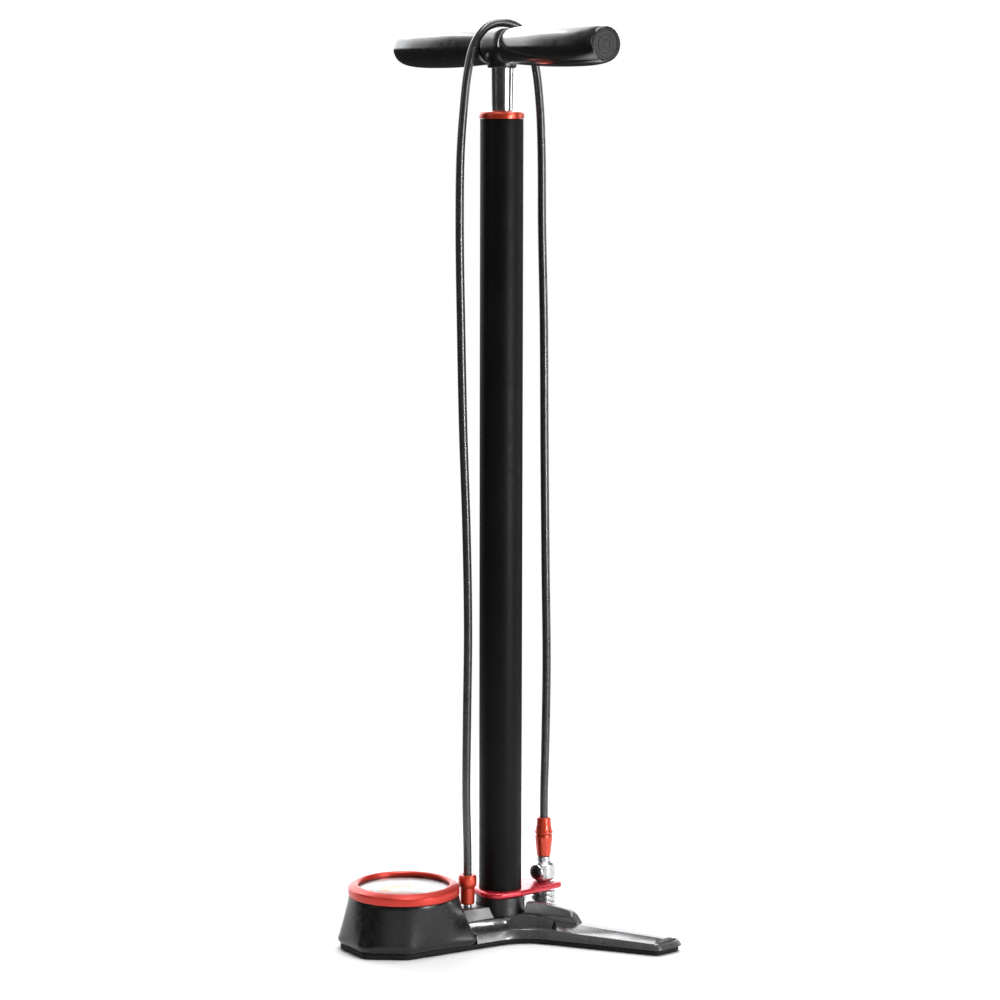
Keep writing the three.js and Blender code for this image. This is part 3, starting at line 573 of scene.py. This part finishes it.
def box_vf(x0, x1, y0, y1, z0, z1):
    v = [(x0, y0, z0), (x1, y0, z0), (x1, y1, z0), (x0, y1, z0), (x0, y0, z1), (x1, y0, z1), (x1, y1, z1), (x0, y1, z1)]
    return v, [(0, 3, 2, 1), (4, 5, 6, 7), (0, 1, 5, 4), (1, 2, 6, 5), (2, 3, 7, 6), (3, 0, 4, 7)]


def rot_z(deg):
    return Matrix.Rotation(math.radians(deg), 4, "Z")


casting = slab
# pockets: inside the rim, clear of the hub deck, the fins and the feet
pocket = temp("t", loft([flat(inset_outline(OUT, 7.0), 6.6), flat(inset_outline(OUT, 6.4), 8.4), flat(inset_outline(OUT, 6.4), 30)]))
FOOT_PLAN = [(45.5, -6), (53.5, -17), (60, -60), (160, -60), (160, 60), (60, 60), (57, 23), (45.5, 6.5)]


def flipped(points):
    return [(x, -y) + tuple(r) for x, y, *r in points][::-1]


for vf in (
    turned([[0, 0], [22.6, 0], [21.4, 40], [0, 40]], 96, False),
    loft([flat([(-15.2, -60), (15.2, -60), (21, -2), (-21, -2)], 0), flat([(-14.6, -60), (14.6, -60), (20.6, -2), (-20.6, -2)], 40)]),
    box_vf(-80, 80, -140, POD_BACK + 4, 0, 40),
    box_vf(-30, 30, 30, 60, 0, 40),
    *[moved(loft([flat(FOOT_PLAN if d < 90 else flipped(FOOT_PLAN), 0), flat(FOOT_PLAN if d < 90 else flipped(FOOT_PLAN), 40)]), rot_z(d)) for d in LEG_DEG],
    *[moved(box_vf(0, 60, -5.2, 5.2, 0, 40), rot_z(d)) for d in LEG_DEG],
):
    pocket = boolean(pocket, temp("t2", vf), "DIFFERENCE")
casting = boolean(casting, pocket, "DIFFERENCE")
casting = boolean(casting, temp("t", box_vf(-200, 200, -300, POD_BACK + 0.3, -5, 60)), "DIFFERENCE")


def leg_solid(rows, mirrored=False):
    """rows: (x, [(y, z, corner radius) ...]) sections with equal counts, joined along +X."""
    n = len(rows[0])
    verts = [p for r in rows for p in r]
    if mirrored:
        verts = [(x, -y, z) for x, y, z in verts]
    faces = [(k * n + i, k * n + (i + 1) % n, (k + 1) * n + (i + 1) % n, (k + 1) * n + i) for k in range(len(rows) - 1) for i in range(n)]
    faces.append(tuple(range(n - 1, -1, -1)))
    faces.append(tuple((len(rows) - 1) * n + i for i in range(n)))
    return verts, faces


BASE_Z = CAST_Z + 0.5


def rounded_section(corners, steps=3):
    """(y, z, radius) corners with the same number of points in every section."""
    out, n = [], len(corners)
    for i, (y, z, r) in enumerate(corners):
        if not r:
            out.append((y, z))
            continue
        p = Vector((y, z))
        u = (Vector(corners[i - 1][:2]) - p).normalized()
        v = (Vector(corners[(i + 1) % n][:2]) - p).normalized()
        half = math.acos(max(-1, min(1, u.dot(v)))) / 2
        t = min(r / math.tan(half), 0.45 * (Vector(corners[i - 1][:2]) - p).length, 0.45 * (Vector(corners[(i + 1) % n][:2]) - p).length)
        r = t * math.tan(half)
        c = p + (u + v).normalized() * (r / math.sin(half))
        a0 = math.atan2(*(p + u * t - c).yx)
        a1 = math.atan2(*(p + v * t - c).yx)
        while a1 - a0 > math.pi:
            a1 -= 2 * math.pi
        while a1 - a0 < -math.pi:
            a1 += 2 * math.pi
        out += [(c.x + r * math.cos(a0 + (a1 - a0) * k / steps), c.y + r * math.sin(a0 + (a1 - a0) * k / steps)) for k in range(steps + 1)]
    return out


def fin(x, top, half, shoulder, z):
    c = [(-half + 0.9, BASE_Z, 0), (half - 0.9, BASE_Z, 0), (half - 0.9, shoulder - 1.0, 0), (half, shoulder - 0.4, 0.25), (half - 0.15, shoulder + 0.5, 0.5), (top, z, 0.8), (-top, z, 0.8),
         (-half + 0.15, shoulder + 0.5, 0.5), (-half, shoulder - 0.4, 0.25), (-half + 0.9, shoulder - 1.0, 0)]
    return [(x, y, z_) for y, z_ in rounded_section(c)]


def spline_rows(rows, count):
    """Rows of numbers, smoothly interpolated to count rows."""
    rows = np.array(rows, float)
    out = []
    n = len(rows)
    for t in np.linspace(0, n - 1, count):
        i = min(int(t), n - 2)
        f = t - i
        p0, p1, p2, p3 = rows[max(i - 1, 0)], rows[i], rows[i + 1], rows[min(i + 2, n - 1)]
        out.append(0.5 * (2 * p1 + (p2 - p0) * f + (2 * p0 - 5 * p1 + 4 * p2 - p3) * f * f + (3 * p1 - p0 - 3 * p2 + p3) * f ** 3))
    return out


FIN_ROWS = [(22.6, 3.2, 6.6, 17.2, 24.1), (31, 3.05, 6.1, 17.6, 24.1), (40, 2.9, 5.6, 18.0, 24.1), (50, 2.5, 5.0, 18.3, 23.0), (56.5, 2.2, 4.6, 18.1, 21.7), (60, 2.0, 4.3, 17.2, 19.3), (62.5, 1.8, 4.0, 14.4, 15.8), (64, 1.6, 3.8, 11.7, 12.6)]
spine = leg_solid([fin(*r) for r in spline_rows(FIN_ROWS, 29)])
web_rows = []
for k in range(13):
    t = k / 12
    x = 8 + 37 * t
    e = t * t * (3 - 2 * t)
    top_half = 17 + (5.3 - 17) * (1 - (1 - t) ** 2.2)
    top_z = 13.6 + 2.9 * math.sin(math.pi * min(1, t * 1.05)) + 0.3 * t
    foot_half = 19 + (9.2 - 19) * e
    web_rows.append([(x, y, z) for y, z in rounded_section([(-foot_half, BASE_Z, 0), (foot_half, BASE_Z, 0), (top_half, top_z, 0.8), (-top_half, top_z, 0.8)])])
web = leg_solid(web_rows)


def foot(x, near, far, rim, half, ridge, skew=0.0):
    c = [(-near, BASE_Z, 0), (far, BASE_Z, 0), (far, rim - 0.25, 0.2), (far - 0.8, rim, 0.5), (half + 1, ridge, 0.6), (-half, ridge, 0.6), (-near + 0.8, rim, 0.5), (-near, rim - 0.25, 0.2)]
    out = []
    for y, z in rounded_section(c):
        reach = max(0.0, -y - half) / (near - half) if y < 0 else 1.4 * max(0.0, y - half - 1) / (far - half - 1)
        out.append((x + skew * reach, y, z))
    return out


CROWN = [foot(46, 16, 21.8, 10.25, 4.6, 12.9, 7), foot(46.6, 16, 21.8, 10.35, 4.6, 13.6, 7), foot(66, 14.8, 20.8, 10.0, 4.2, 13.3), foot(96, 11.5, 17.3, 9.1, 3.2, 12.2),
         foot(124.5, 8.4, 13.3, 8.2, 2.6, 11.4)]
CROWN.append([(x + 2.4 + 6.6 * min(1.0, max(0.0, (y + 8.4) / 21.7)), y * 0.985, min(z, 11.0) if z > 8.4 else z - 0.05) for x, y, z in CROWN[-1]])
hubplate = turned([[0, BASE_Z], [20.6, BASE_Z], [20.6, 14.0, 0.8], [0, 14.0]], 128, False)
deck_plan = fillet([[-13.4, POD_BACK + 0.5, 0], [13.4, POD_BACK + 0.5, 0], [16.3, -16, 60], [20.35, -1, 6], [-20.35, -1, 6], [-16.3, -16, 60]], True, 6)
deck = loft([flat(inset(deck_plan, -1.8), BASE_Z), flat(inset(deck_plan, -0.7), 13.0), flat(inset(deck_plan, -0.15), 13.7), flat(inset(deck_plan, 0.5), 14.0)])
y0 = POD_BACK + 0.5


def block_ring(half, back, z, front=0.0):
    return flat(fillet([[-half, y0 + front, 0.9], [half, y0 + front, 0.9], [half, back, 0.9], [-half, back, 0.9]], True, 3), z)


block = loft([block_ring(13.1, -9, 12.0), block_ring(12.7, -9, 13.9), block_ring(9.8, -11.0, 20.7), block_ring(9.55, -11.2, 21.2), block_ring(8.9, -11.8, 21.45)])
for vf in (deck, hubplate, block, *[moved(web, rot_z(d)) for d in LEG_DEG], *[moved(spine, rot_z(d)) for d in LEG_DEG], *[moved(leg_solid(CROWN, d > 90), rot_z(d)) for d in LEG_DEG]):
    casting = boolean(casting, temp("t", vf), "UNION")
for vf in (turned([[0, 10.9], [15.4, 10.9], [15.4, 40], [0, 40]], 96, False), turned([[0, 14.0], [18.2, 14.0], [17.6, 40], [0, 40]], 96, False),
           turned([[0, 17.2], [3.4, 17.2], [3.4, 30], [0, 30]], 48, False, at=FIT), turned([[0, 5.4], [6.2, 5.4], [6.2, 12], [0, 12]], 48, False)):
    casting = boolean(casting, temp("t", vf), "DIFFERENCE")

# ----------------------------------------------------------------- gauge pod
POD_OUT = [[0, -123.2, 0], [18, -123.2, 12], [37.6, -97, 14], [37.6, POD_BACK, 2.5], [-37.6, POD_BACK, 2.5], [-37.6, -97, 14], [-18, -123.2, 12]]
pod_plan = resample(fillet(POD_OUT, True, 10), 1.6)


def pod_ring(t, z, grow=0.0, radius=38.4):
    out = []
    for x, y in pod_plan:
        w = math.atan2(y - G[1], x - G[0])
        qx, qy = G[0] + radius * math.cos(w), G[1] + radius * math.sin(w)
        out.append((x + (qx - x) * t + grow * math.cos(w), y + (qy - y) * t + grow * math.sin(w), z))
    return out


pod_rows = [(0.0, CAST_Z, -2.2), (0.0, 5.1, -1.3), (0.0, 6.2, -0.5), (0.0, 7.6, -0.08), (0.0, 8.4, 0)]
for i in range(1, 15):
    z = 8.4 + (36.6 - 8.4) * i / 14
    s = (z - 8.4) / (36.6 - 8.4)
    pod_rows.append((s ** 0.9, z, 0))
pod_rows += [(1.0, 37.0, -0.15), (1.0, 37.2, -0.6)]
pod = temp("pod_shell", loft([pod_ring(min(1, t), z, g) for t, z, g in pod_rows]))
casting = boolean(casting, temp("t", loft([pod_ring(min(1, t), z, g + 0.45) for t, z, g in pod_rows])), "DIFFERENCE")
done(casting, M["cast"], "base", "base_casting", angle=32)
pod = boolean(pod, temp("t", turned([[0, 10.6], [34.2, 10.6], [34.2, 60], [0, 60]], 128, False, at=G)), "DIFFERENCE")
done(pod, M["pod"], "base", "gauge_pod", angle=38)

# --------------------------------------------------------------------- gauge
lathe_piece("bezel_ring", [[34.4, 37.5], [38.4, 37.5, 0.3], [38.8, 38.2, 0.4], [38.8, 42.5, 0.5], [38.1, 43.3, 0.5], [33.8, 45.4, 0.5], [32.7, 45.15, 0.5], [31.8, 44.3, 0.5], [31.8, 42.8], [34.4, 42.8]],
            M["red_ring"], "base", "gauge_bezel", seg=192, at=G)
lathe_piece("dial_plate", [[2.2, 35.4], [32.2, 35.4], [32.2, 36.2, 0.1], [2.2, 36.2, 0.1]], M["dial"], "base", "gauge_dial", seg=128, at=G)
lathe_piece("lens_glass", [[0, 41.0], [34.0, 41.0, 0.2], [34.0, 41.7, 0.2], [31.0, 42.2, 3], [12, 42.45, 10], [0, 42.45]], M["lens"], "base", "gauge_lens", seg=128, closed=False, at=G)
lathe_piece("lens_gasket", [[32.2, 39.6], [33.9, 39.6, 0.3], [33.9, 40.7, 0.3], [32.2, 40.7, 0.3]], M["seal"], "base", "gauge_lens_seal", seg=96, at=G)


def on_dial(x, y, z=36.25):
    """Dial coordinates (x right, y up as read from +Y side) to the row frame."""
    return (G[0] - x, G[1] - y, z)


def sweep_angle(v):
    """0..1 of the scale to the dial's own angle, clockwise from lower left."""
    return math.radians(225 - 270 * v)


def dial_quads(quads, name, mat, z0=36.22, z1=36.30):
    verts, faces = [], []
    for q in quads:
        o = len(verts)
        n = len(q)
        verts += [on_dial(x, y, z0) for x, y in q] + [on_dial(x, y, z1) for x, y in q]
        faces += [tuple(o + i for i in range(n)), tuple(o + n + i for i in range(n - 1, -1, -1))]
        faces += [(o + i, o + (i + 1) % n, o + n + (i + 1) % n, o + n + i) for i in range(n)]
    return piece(name, verts, faces, mat, "base", slot="dial_white", angle=30)


def radial(v, r0, r1, w):
    w_ = sweep_angle(v)
    c, s = math.cos(w_), math.sin(w_)
    return [(r0 * c + w * s, r0 * s - w * c), (r1 * c + w * s, r1 * s - w * c), (r1 * c - w * s, r1 * s + w * c), (r0 * c - w * s, r0 * s + w * c)]


def arc(v0, v1, r0, r1, k=40):
    quads = []
    for i in range(k):
        a0, a1 = sweep_angle(v0 + (v1 - v0) * i / k), sweep_angle(v0 + (v1 - v0) * (i + 1) / k)
        quads.append([(r0 * math.cos(a0), r0 * math.sin(a0)), (r1 * math.cos(a0), r1 * math.sin(a0)), (r1 * math.cos(a1), r1 * math.sin(a1)), (r0 * math.cos(a1), r0 * math.sin(a1))])
    return quads


def arc_piece(name, v0, v1, r0, r1, mat, k=60, z0=36.22, z1=36.30):
    verts, faces = [], []
    for i in range(k + 1):
        w = sweep_angle(v0 + (v1 - v0) * i / k)
        c, s = math.cos(w), math.sin(w)
        verts += [on_dial(r0 * c, r0 * s, z0), on_dial(r1 * c, r1 * s, z0), on_dial(r1 * c, r1 * s, z1), on_dial(r0 * c, r0 * s, z1)]
    for i in range(k):
        o = i * 4
        faces += [(o, o + 1, o + 5, o + 4), (o + 1, o + 2, o + 6, o + 5), (o + 2, o + 3, o + 7, o + 6), (o + 3, o, o + 4, o + 7)]
    faces += [(0, 3, 2, 1), (4 * k, 4 * k + 1, 4 * k + 2, 4 * k + 3)]
    return piece(name, verts, faces, mat, "base", slot="dial_white", angle=30)


STEPS = 160
dial_quads([radial(i / 32, 24.6, 28.6 if i % 4 == 0 else 27.0, 0.42 if i % 4 == 0 else 0.2) for i in range(33)], "dial_marks", M["ink"])
arc_piece("dial_line", 0, 1, 24.2, 24.5, M["ink_grey"])
arc_piece("dial_inner_line", 0, 1, 15.2, 15.4, M["ink_grey"])
dial_quads([radial(i / 22, 15.4, 17.4, 0.12) for i in range(23)], "dial_inner_marks", M["ink_grey"])
arc_piece("dial_zone", 0.78, 1.0, 18.4, 23.9, M["ink_orange"])


def number(text, x, y, size, name):
    cu = bpy.data.curves.new(name, "FONT")
    cu.body, cu.size, cu.align_x, cu.align_y = text, size * MM, "CENTER", "CENTER"
    cu.extrude = 0.03 * MM
    cu.offset = 0.09 * MM
    cu.resolution_u = 4
    o = bpy.data.objects.new(name, cu)
    scene.collection.objects.link(o)
    dg = bpy.context.evaluated_depsgraph_get()
    me = bpy.data.meshes.new_from_object(o.evaluated_get(dg))
    bpy.data.objects.remove(o)
    me.transform(Matrix.Translation(Vector(on_dial(x, y, 36.25)) * MM) @ Matrix.Rotation(math.pi, 4, "Z"))
    return me


texts = []
for i in range(9):
    w = sweep_angle(i / 8)
    texts.append(number(str(20 * i), 21.0 * math.cos(w), 21.0 * math.sin(w), 4.6, "num%d" % i))
for i in range(6):
    w = sweep_angle(i * 2 / 11)
    texts.append(number(str(i * 2), 12.6 * math.cos(w), 12.6 * math.sin(w), 2.6, "sub%d" % i))
bm = bmesh.new()
for me in texts:
    bm.from_mesh(me)
bmesh.ops.remove_doubles(bm, verts=bm.verts, dist=1e-7)
me = bpy.data.meshes.new("dial_numbers")
bm.to_mesh(me)
bm.free()
num = bpy.data.objects.new("dial_numbers", me)
scene.collection.objects.link(num)
num.data.materials.append(M["ink"])
settle(num, "base", slot="dial_white")

# needle with a tapered blade, a tail and a domed boss
nd = [(-7, -1.5), (-2, -1.15), (0, -1.1), (25.4, -0.34), (27.3, 0), (25.4, 0.34), (0, 1.1), (-2, 1.15), (-7, 1.5)]
nw = math.radians(45)
nd = [(x * math.cos(nw) - y * math.sin(nw) + G[0], x * math.sin(nw) + y * math.cos(nw) + G[1]) for x, y in nd]
blade = temp("needle_blade", loft([flat(nd, 37.3), flat(nd, 37.75), flat(inset(nd, 0.12), 37.9)]))
blade = boolean(blade, temp("t", turned([[0, 36.9], [2.6, 36.9], [2.6, 38.2, 0.4], [1.6, 38.6, 0.3], [0, 38.6]], 64, False, at=G)), "UNION")
blade = boolean(blade, temp("t", turned([[0, 16], [1.1, 16], [1.1, 37.2], [0, 37.2]], 32, False, at=G)), "UNION")
done(blade, M["needle"], "needle", "gauge_needle")

# ------------------------------------------------------------------- bracket
BR = [[-19, -19, 15], [19, -19, 15], [19.4, 6, 14], [11.2, 45.6, 3.4], [-11.2, 45.6, 3.4], [-19.4, 6, 14]]
bc = fillet(BR, True, 12)
Z0, T = 27.9, 4.3
rings = []
for i in range(9):
    w = math.pi / 2 * i / 8
    rings.append(flat(inset(bc, 1.7 * (1 - math.sin(w))), Z0 + 1.7 * (1 - math.cos(w))))
for i in range(9):
    w = math.pi / 2 * i / 8
    rings.append(flat(inset(bc, 1.7 * (1 - math.cos(w))), Z0 + T - 1.7 * (1 - math.sin(w))))
bracket = temp("bracket_plate", loft(rings))
bracket = boolean(bracket, temp("t", turned([[0, 20], [15.25, 20], [15.25, 60], [0, 60]], 128, False)), "DIFFERENCE")
slot_cut = boolean(temp("t", turned([[0, 20], [5.65, 20], [5.65, 60], [0, 60]], 64, False, at=CH)), temp("t", box_vf(-5.2, 5.2, CH[1], 60, 20, 60)), "UNION")
bracket = boolean(bracket, slot_cut, "DIFFERENCE")
done(bracket, M["red_flat"], "base", "chuck_bracket", angle=35)

# --------------------------------------------------------------------- chuck
B0, B1, BA = 33.4, 45.6, math.radians(-72)
BZ = (B0 + B1) / 2
BM = Matrix.Translation((CH[0], CH[1], BZ)) @ Matrix.Rotation(BA, 4, "Z") @ Matrix.Rotation(math.radians(90), 4, "Y")
body = temp("chuck_shell", turned([[1.5, 42.6], [1.5, 50.1], [4.6, 50.1, 0.4], [4.9, 49.2, 0.5], [4.9, 46.6, 1.0], [6.6, 45.6, 0.6], [8.1, 44.4, 0.5], [8.1, 34.8, 0.5], [7.2, 33.4, 0.5],
                                   [5.9, 33.2, 0.4], [5.3, 31.6, 0.8], [5.3, 26.6, 0.2], [2.2, 26.6], [2.2, 42.6]], 128, True, at=CH))
boss = moved(turned([[0, 2.6], [5.75, 2.6], [5.75, 8.3, 0.5], [5.2, 9.2, 0.35], [0, 9.2]], 96, False), BM)
body = boolean(body, temp("t", boss), "UNION")
body = boolean(body, temp("t", moved(turned([[0, 6.6], [4.5, 6.6], [4.5, 8.8], [4.9, 9.6], [4.9, 14], [0, 14]], 96, False), BM)), "DIFFERENCE")
body = boolean(body, temp("t", moved(turned([[0, 0], [1.6, 0], [1.6, 7], [0, 7]], 48, False), BM)), "DIFFERENCE")
done(body, M["silver"], "chuck", "chuck_body", angle=32)
but = temp("button_cap", moved(turned([[0, 8.3], [4.1, 8.3], [4.1, 9.3, 0.5], [3.2, 9.9, 0.6], [0, 9.75]], 96, False), BM))
but = boolean(but, temp("t", moved(turned([[0, 4.4], [1.3, 4.4], [1.3, 8.6], [0, 8.6]], 48, False), BM)), "UNION")
done(but, M["button"], "button", "bleed_button")
prof = [[4.3, 15.2], [8.1, 15.2, 0.3], [8.6, 15.8, 0.4]]
for z in (18.5, 22.3):
    prof += [[8.6, z - 0.75, 0.3], [7.95, z - 0.3, 0.25], [7.95, z + 0.3, 0.25], [8.6, z + 0.75, 0.3]]
prof += [[8.6, 25.3, 0.4], [8.0, 26.2, 0.4], [4.3, 26.2]]
lathe_piece("collar_ribbed", prof, M["silver"], "collar", "chuck_collar", seg=128, at=CH, steps=4)

# ------------------------------------------------- hidden CAD nodes that show
for n, key in {"check_valve_seat": "brass", "check_valve_spring": "steel", "check_valve_poppet": "seal", "gauge_case": "steel", "gauge_movement": "brass", "gauge_bourdon_tube": "brass",
               "barrel_seal": "seal", "rod_guide_bush": "bush", "rod_wiper_seal": "seal", "piston_head": "silver", "piston_seal": "seal", "piston_bolt": "steel", "top_bumper": "seal",
               "handle_bar": "steel", "chuck_seal": "seal"}.items():
    o = frame["nodes"][n]
    o.data.materials.clear()
    o.data.materials.append(M[key])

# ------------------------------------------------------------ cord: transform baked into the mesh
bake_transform(hose)

# --------------------------------------------------------------------- stage
floor_me = bpy.data.meshes.new("floor")
n = 96
fv = [(0, 0, 0)] + [(1.6 * math.cos(2 * math.pi * i / n), 1.6 * math.sin(2 * math.pi * i / n), 0) for i in range(n)]
floor_me.from_pydata(fv, [], [(0, i + 1, (i + 1) % n + 1) for i in range(n)])
floor = bpy.data.objects.new("floor", floor_me)
scene.collection.objects.link(floor)
fm, fnt, fp = new_material("floor_paper")
fp.inputs["Base Color"].default_value = (0.88, 0.88, 0.88, 1)
fp.inputs["Roughness"].default_value = 0.8
fp.inputs["Specular IOR Level"].default_value = 0.1
ftc = fnt.nodes.new("ShaderNodeTexCoord")
fvl = fnt.nodes.new("ShaderNodeVectorMath")
fvl.operation = "LENGTH"
fnt.links.new(ftc.outputs["Object"], fvl.inputs[0])
fmr = fnt.nodes.new("ShaderNodeMapRange")
fmr.interpolation_type = "SMOOTHSTEP"
fmr.inputs["From Min"].default_value, fmr.inputs["From Max"].default_value = 0.34, 0.80
fnt.links.new(fvl.outputs["Value"], fmr.inputs["Value"])
ftr = fnt.nodes.new("ShaderNodeBsdfTransparent")
fmx = fnt.nodes.new("ShaderNodeMixShader")
fnt.links.new(fmr.outputs["Result"], fmx.inputs[0])
fnt.links.new(fp.outputs[0], fmx.inputs[1])
fnt.links.new(ftr.outputs[0], fmx.inputs[2])
fnt.links.new(fmx.outputs[0], fnt.nodes["Material Output"].inputs[0])
floor_me.materials.append(fm)

# The room: white sweep behind the pump, dark in front, white beyond the floor.
world = bpy.data.worlds.new("studio")
scene.world = world
world.use_nodes = True
wn = world.node_tree
for x in list(wn.nodes):
    wn.nodes.remove(x)


def wnode(kind, **kw):
    x = wn.nodes.new(kind)
    for k, v in kw.items():
        setattr(x, k, v)
    return x


wo = wnode("ShaderNodeOutputWorld")
bg_cam = wnode("ShaderNodeBackground")
bg_cam.inputs[0].default_value = (1, 1, 1, 1)
wtc = wnode("ShaderNodeTexCoord")


def wdot(direction, lo, hi, v0, v1):
    d = wnode("ShaderNodeVectorMath", operation="DOT_PRODUCT")
    d.inputs[1].default_value = direction
    wn.links.new(wtc.outputs["Generated"], d.inputs[0])
    m = wnode("ShaderNodeMapRange", interpolation_type="SMOOTHSTEP")
    m.inputs["From Min"].default_value, m.inputs["From Max"].default_value = lo, hi
    m.inputs["To Min"].default_value, m.inputs["To Max"].default_value = v0, v1
    wn.links.new(d.outputs["Value"], m.inputs["Value"])
    return m.outputs["Result"]


def wmath(op, x, y):
    m = wnode("ShaderNodeMath", operation=op)
    for k, v in enumerate((x, y)):
        if isinstance(v, (int, float)):
            m.inputs[k].default_value = v
        else:
            wn.links.new(v, m.inputs[k])
    return m.outputs[0]


BACK = math.radians(90 + AZ + 10)
back = wdot((math.cos(BACK), math.sin(BACK), 0), 0.52, 0.66, 0, 1)
above = wdot((0, 0, 1), -0.06, 0.02, 0, 1)
below_top = wdot((0, 0, 1), 0.62, 0.80, 1, 0)
sweep = wmath("MULTIPLY", wmath("MULTIPLY", back, above), wmath("MULTIPLY", below_top, SWEEP_L))
dome = wdot((0, 0, 1), -0.1, 0.9, 0.03, 0.16)
bg = wnode("ShaderNodeBackground")
bg.inputs[0].default_value = (0.97, 0.98, 1.0, 1)
wn.links.new(wmath("ADD", sweep, dome), bg.inputs[1])
lp = wnode("ShaderNodeLightPath")
mx = wnode("ShaderNodeMixShader")
wn.links.new(lp.outputs["Is Camera Ray"], mx.inputs[0])
wn.links.new(bg.outputs[0], mx.inputs[1])
wn.links.new(bg_cam.outputs[0], mx.inputs[2])
wn.links.new(mx.outputs[0], wo.inputs[0])


def area(name, az, el, dist, size, power, target=(0, 0, 0.3), colour=(1, 1, 1)):
    """Azimuth is counted from the camera, positive to its right."""
    w = math.radians(AZ + az)
    e = math.radians(el)
    t = Vector(target)
    pos = t + Vector((math.sin(w) * math.cos(e), -math.cos(w) * math.cos(e), math.sin(e))) * dist
    ld = bpy.data.lights.new(name, "AREA")
    ld.shape = "RECTANGLE"
    ld.size, ld.size_y = size
    ld.energy = power
    ld.color = colour
    o = bpy.data.objects.new(name, ld)
    scene.collection.objects.link(o)
    o.location = pos
    o.rotation_mode = "QUATERNION"
    o.rotation_quaternion = (t - pos).to_track_quat("-Z", "Y")
    return o


area("top_box", 120, 80, 1.5, (1.0, 1.0), 20, target=(0, 0, 0.35))
area("right_strip", 62, 16, 1.7, (0.16, 1.5), 9)
area("right_near_strip", 42, 4, 1.8, (0.07, 1.3), 4)
area("right_back_strip", 107, 8, 1.6, (0.12, 1.5), 6)
area("key_high", 10, 70, 2.3, (0.5, 0.5), 11, target=(0, 0, 0.05))
area("left_soft", -62, 28, 2.0, (0.4, 1.2), 4.5)
area("pod_strip", 48, 9, 1.6, (0.12, 0.55), 14, target=(0, 0, 0.03))
area("plate_back", -168, 43, 2.0, (0.8, 0.5), 6, target=(0.06, 0.04, 0.01))
area("grip_back", -138, 29, 2.0, (0.6, 0.5), 4, target=(0, 0, 0.62))
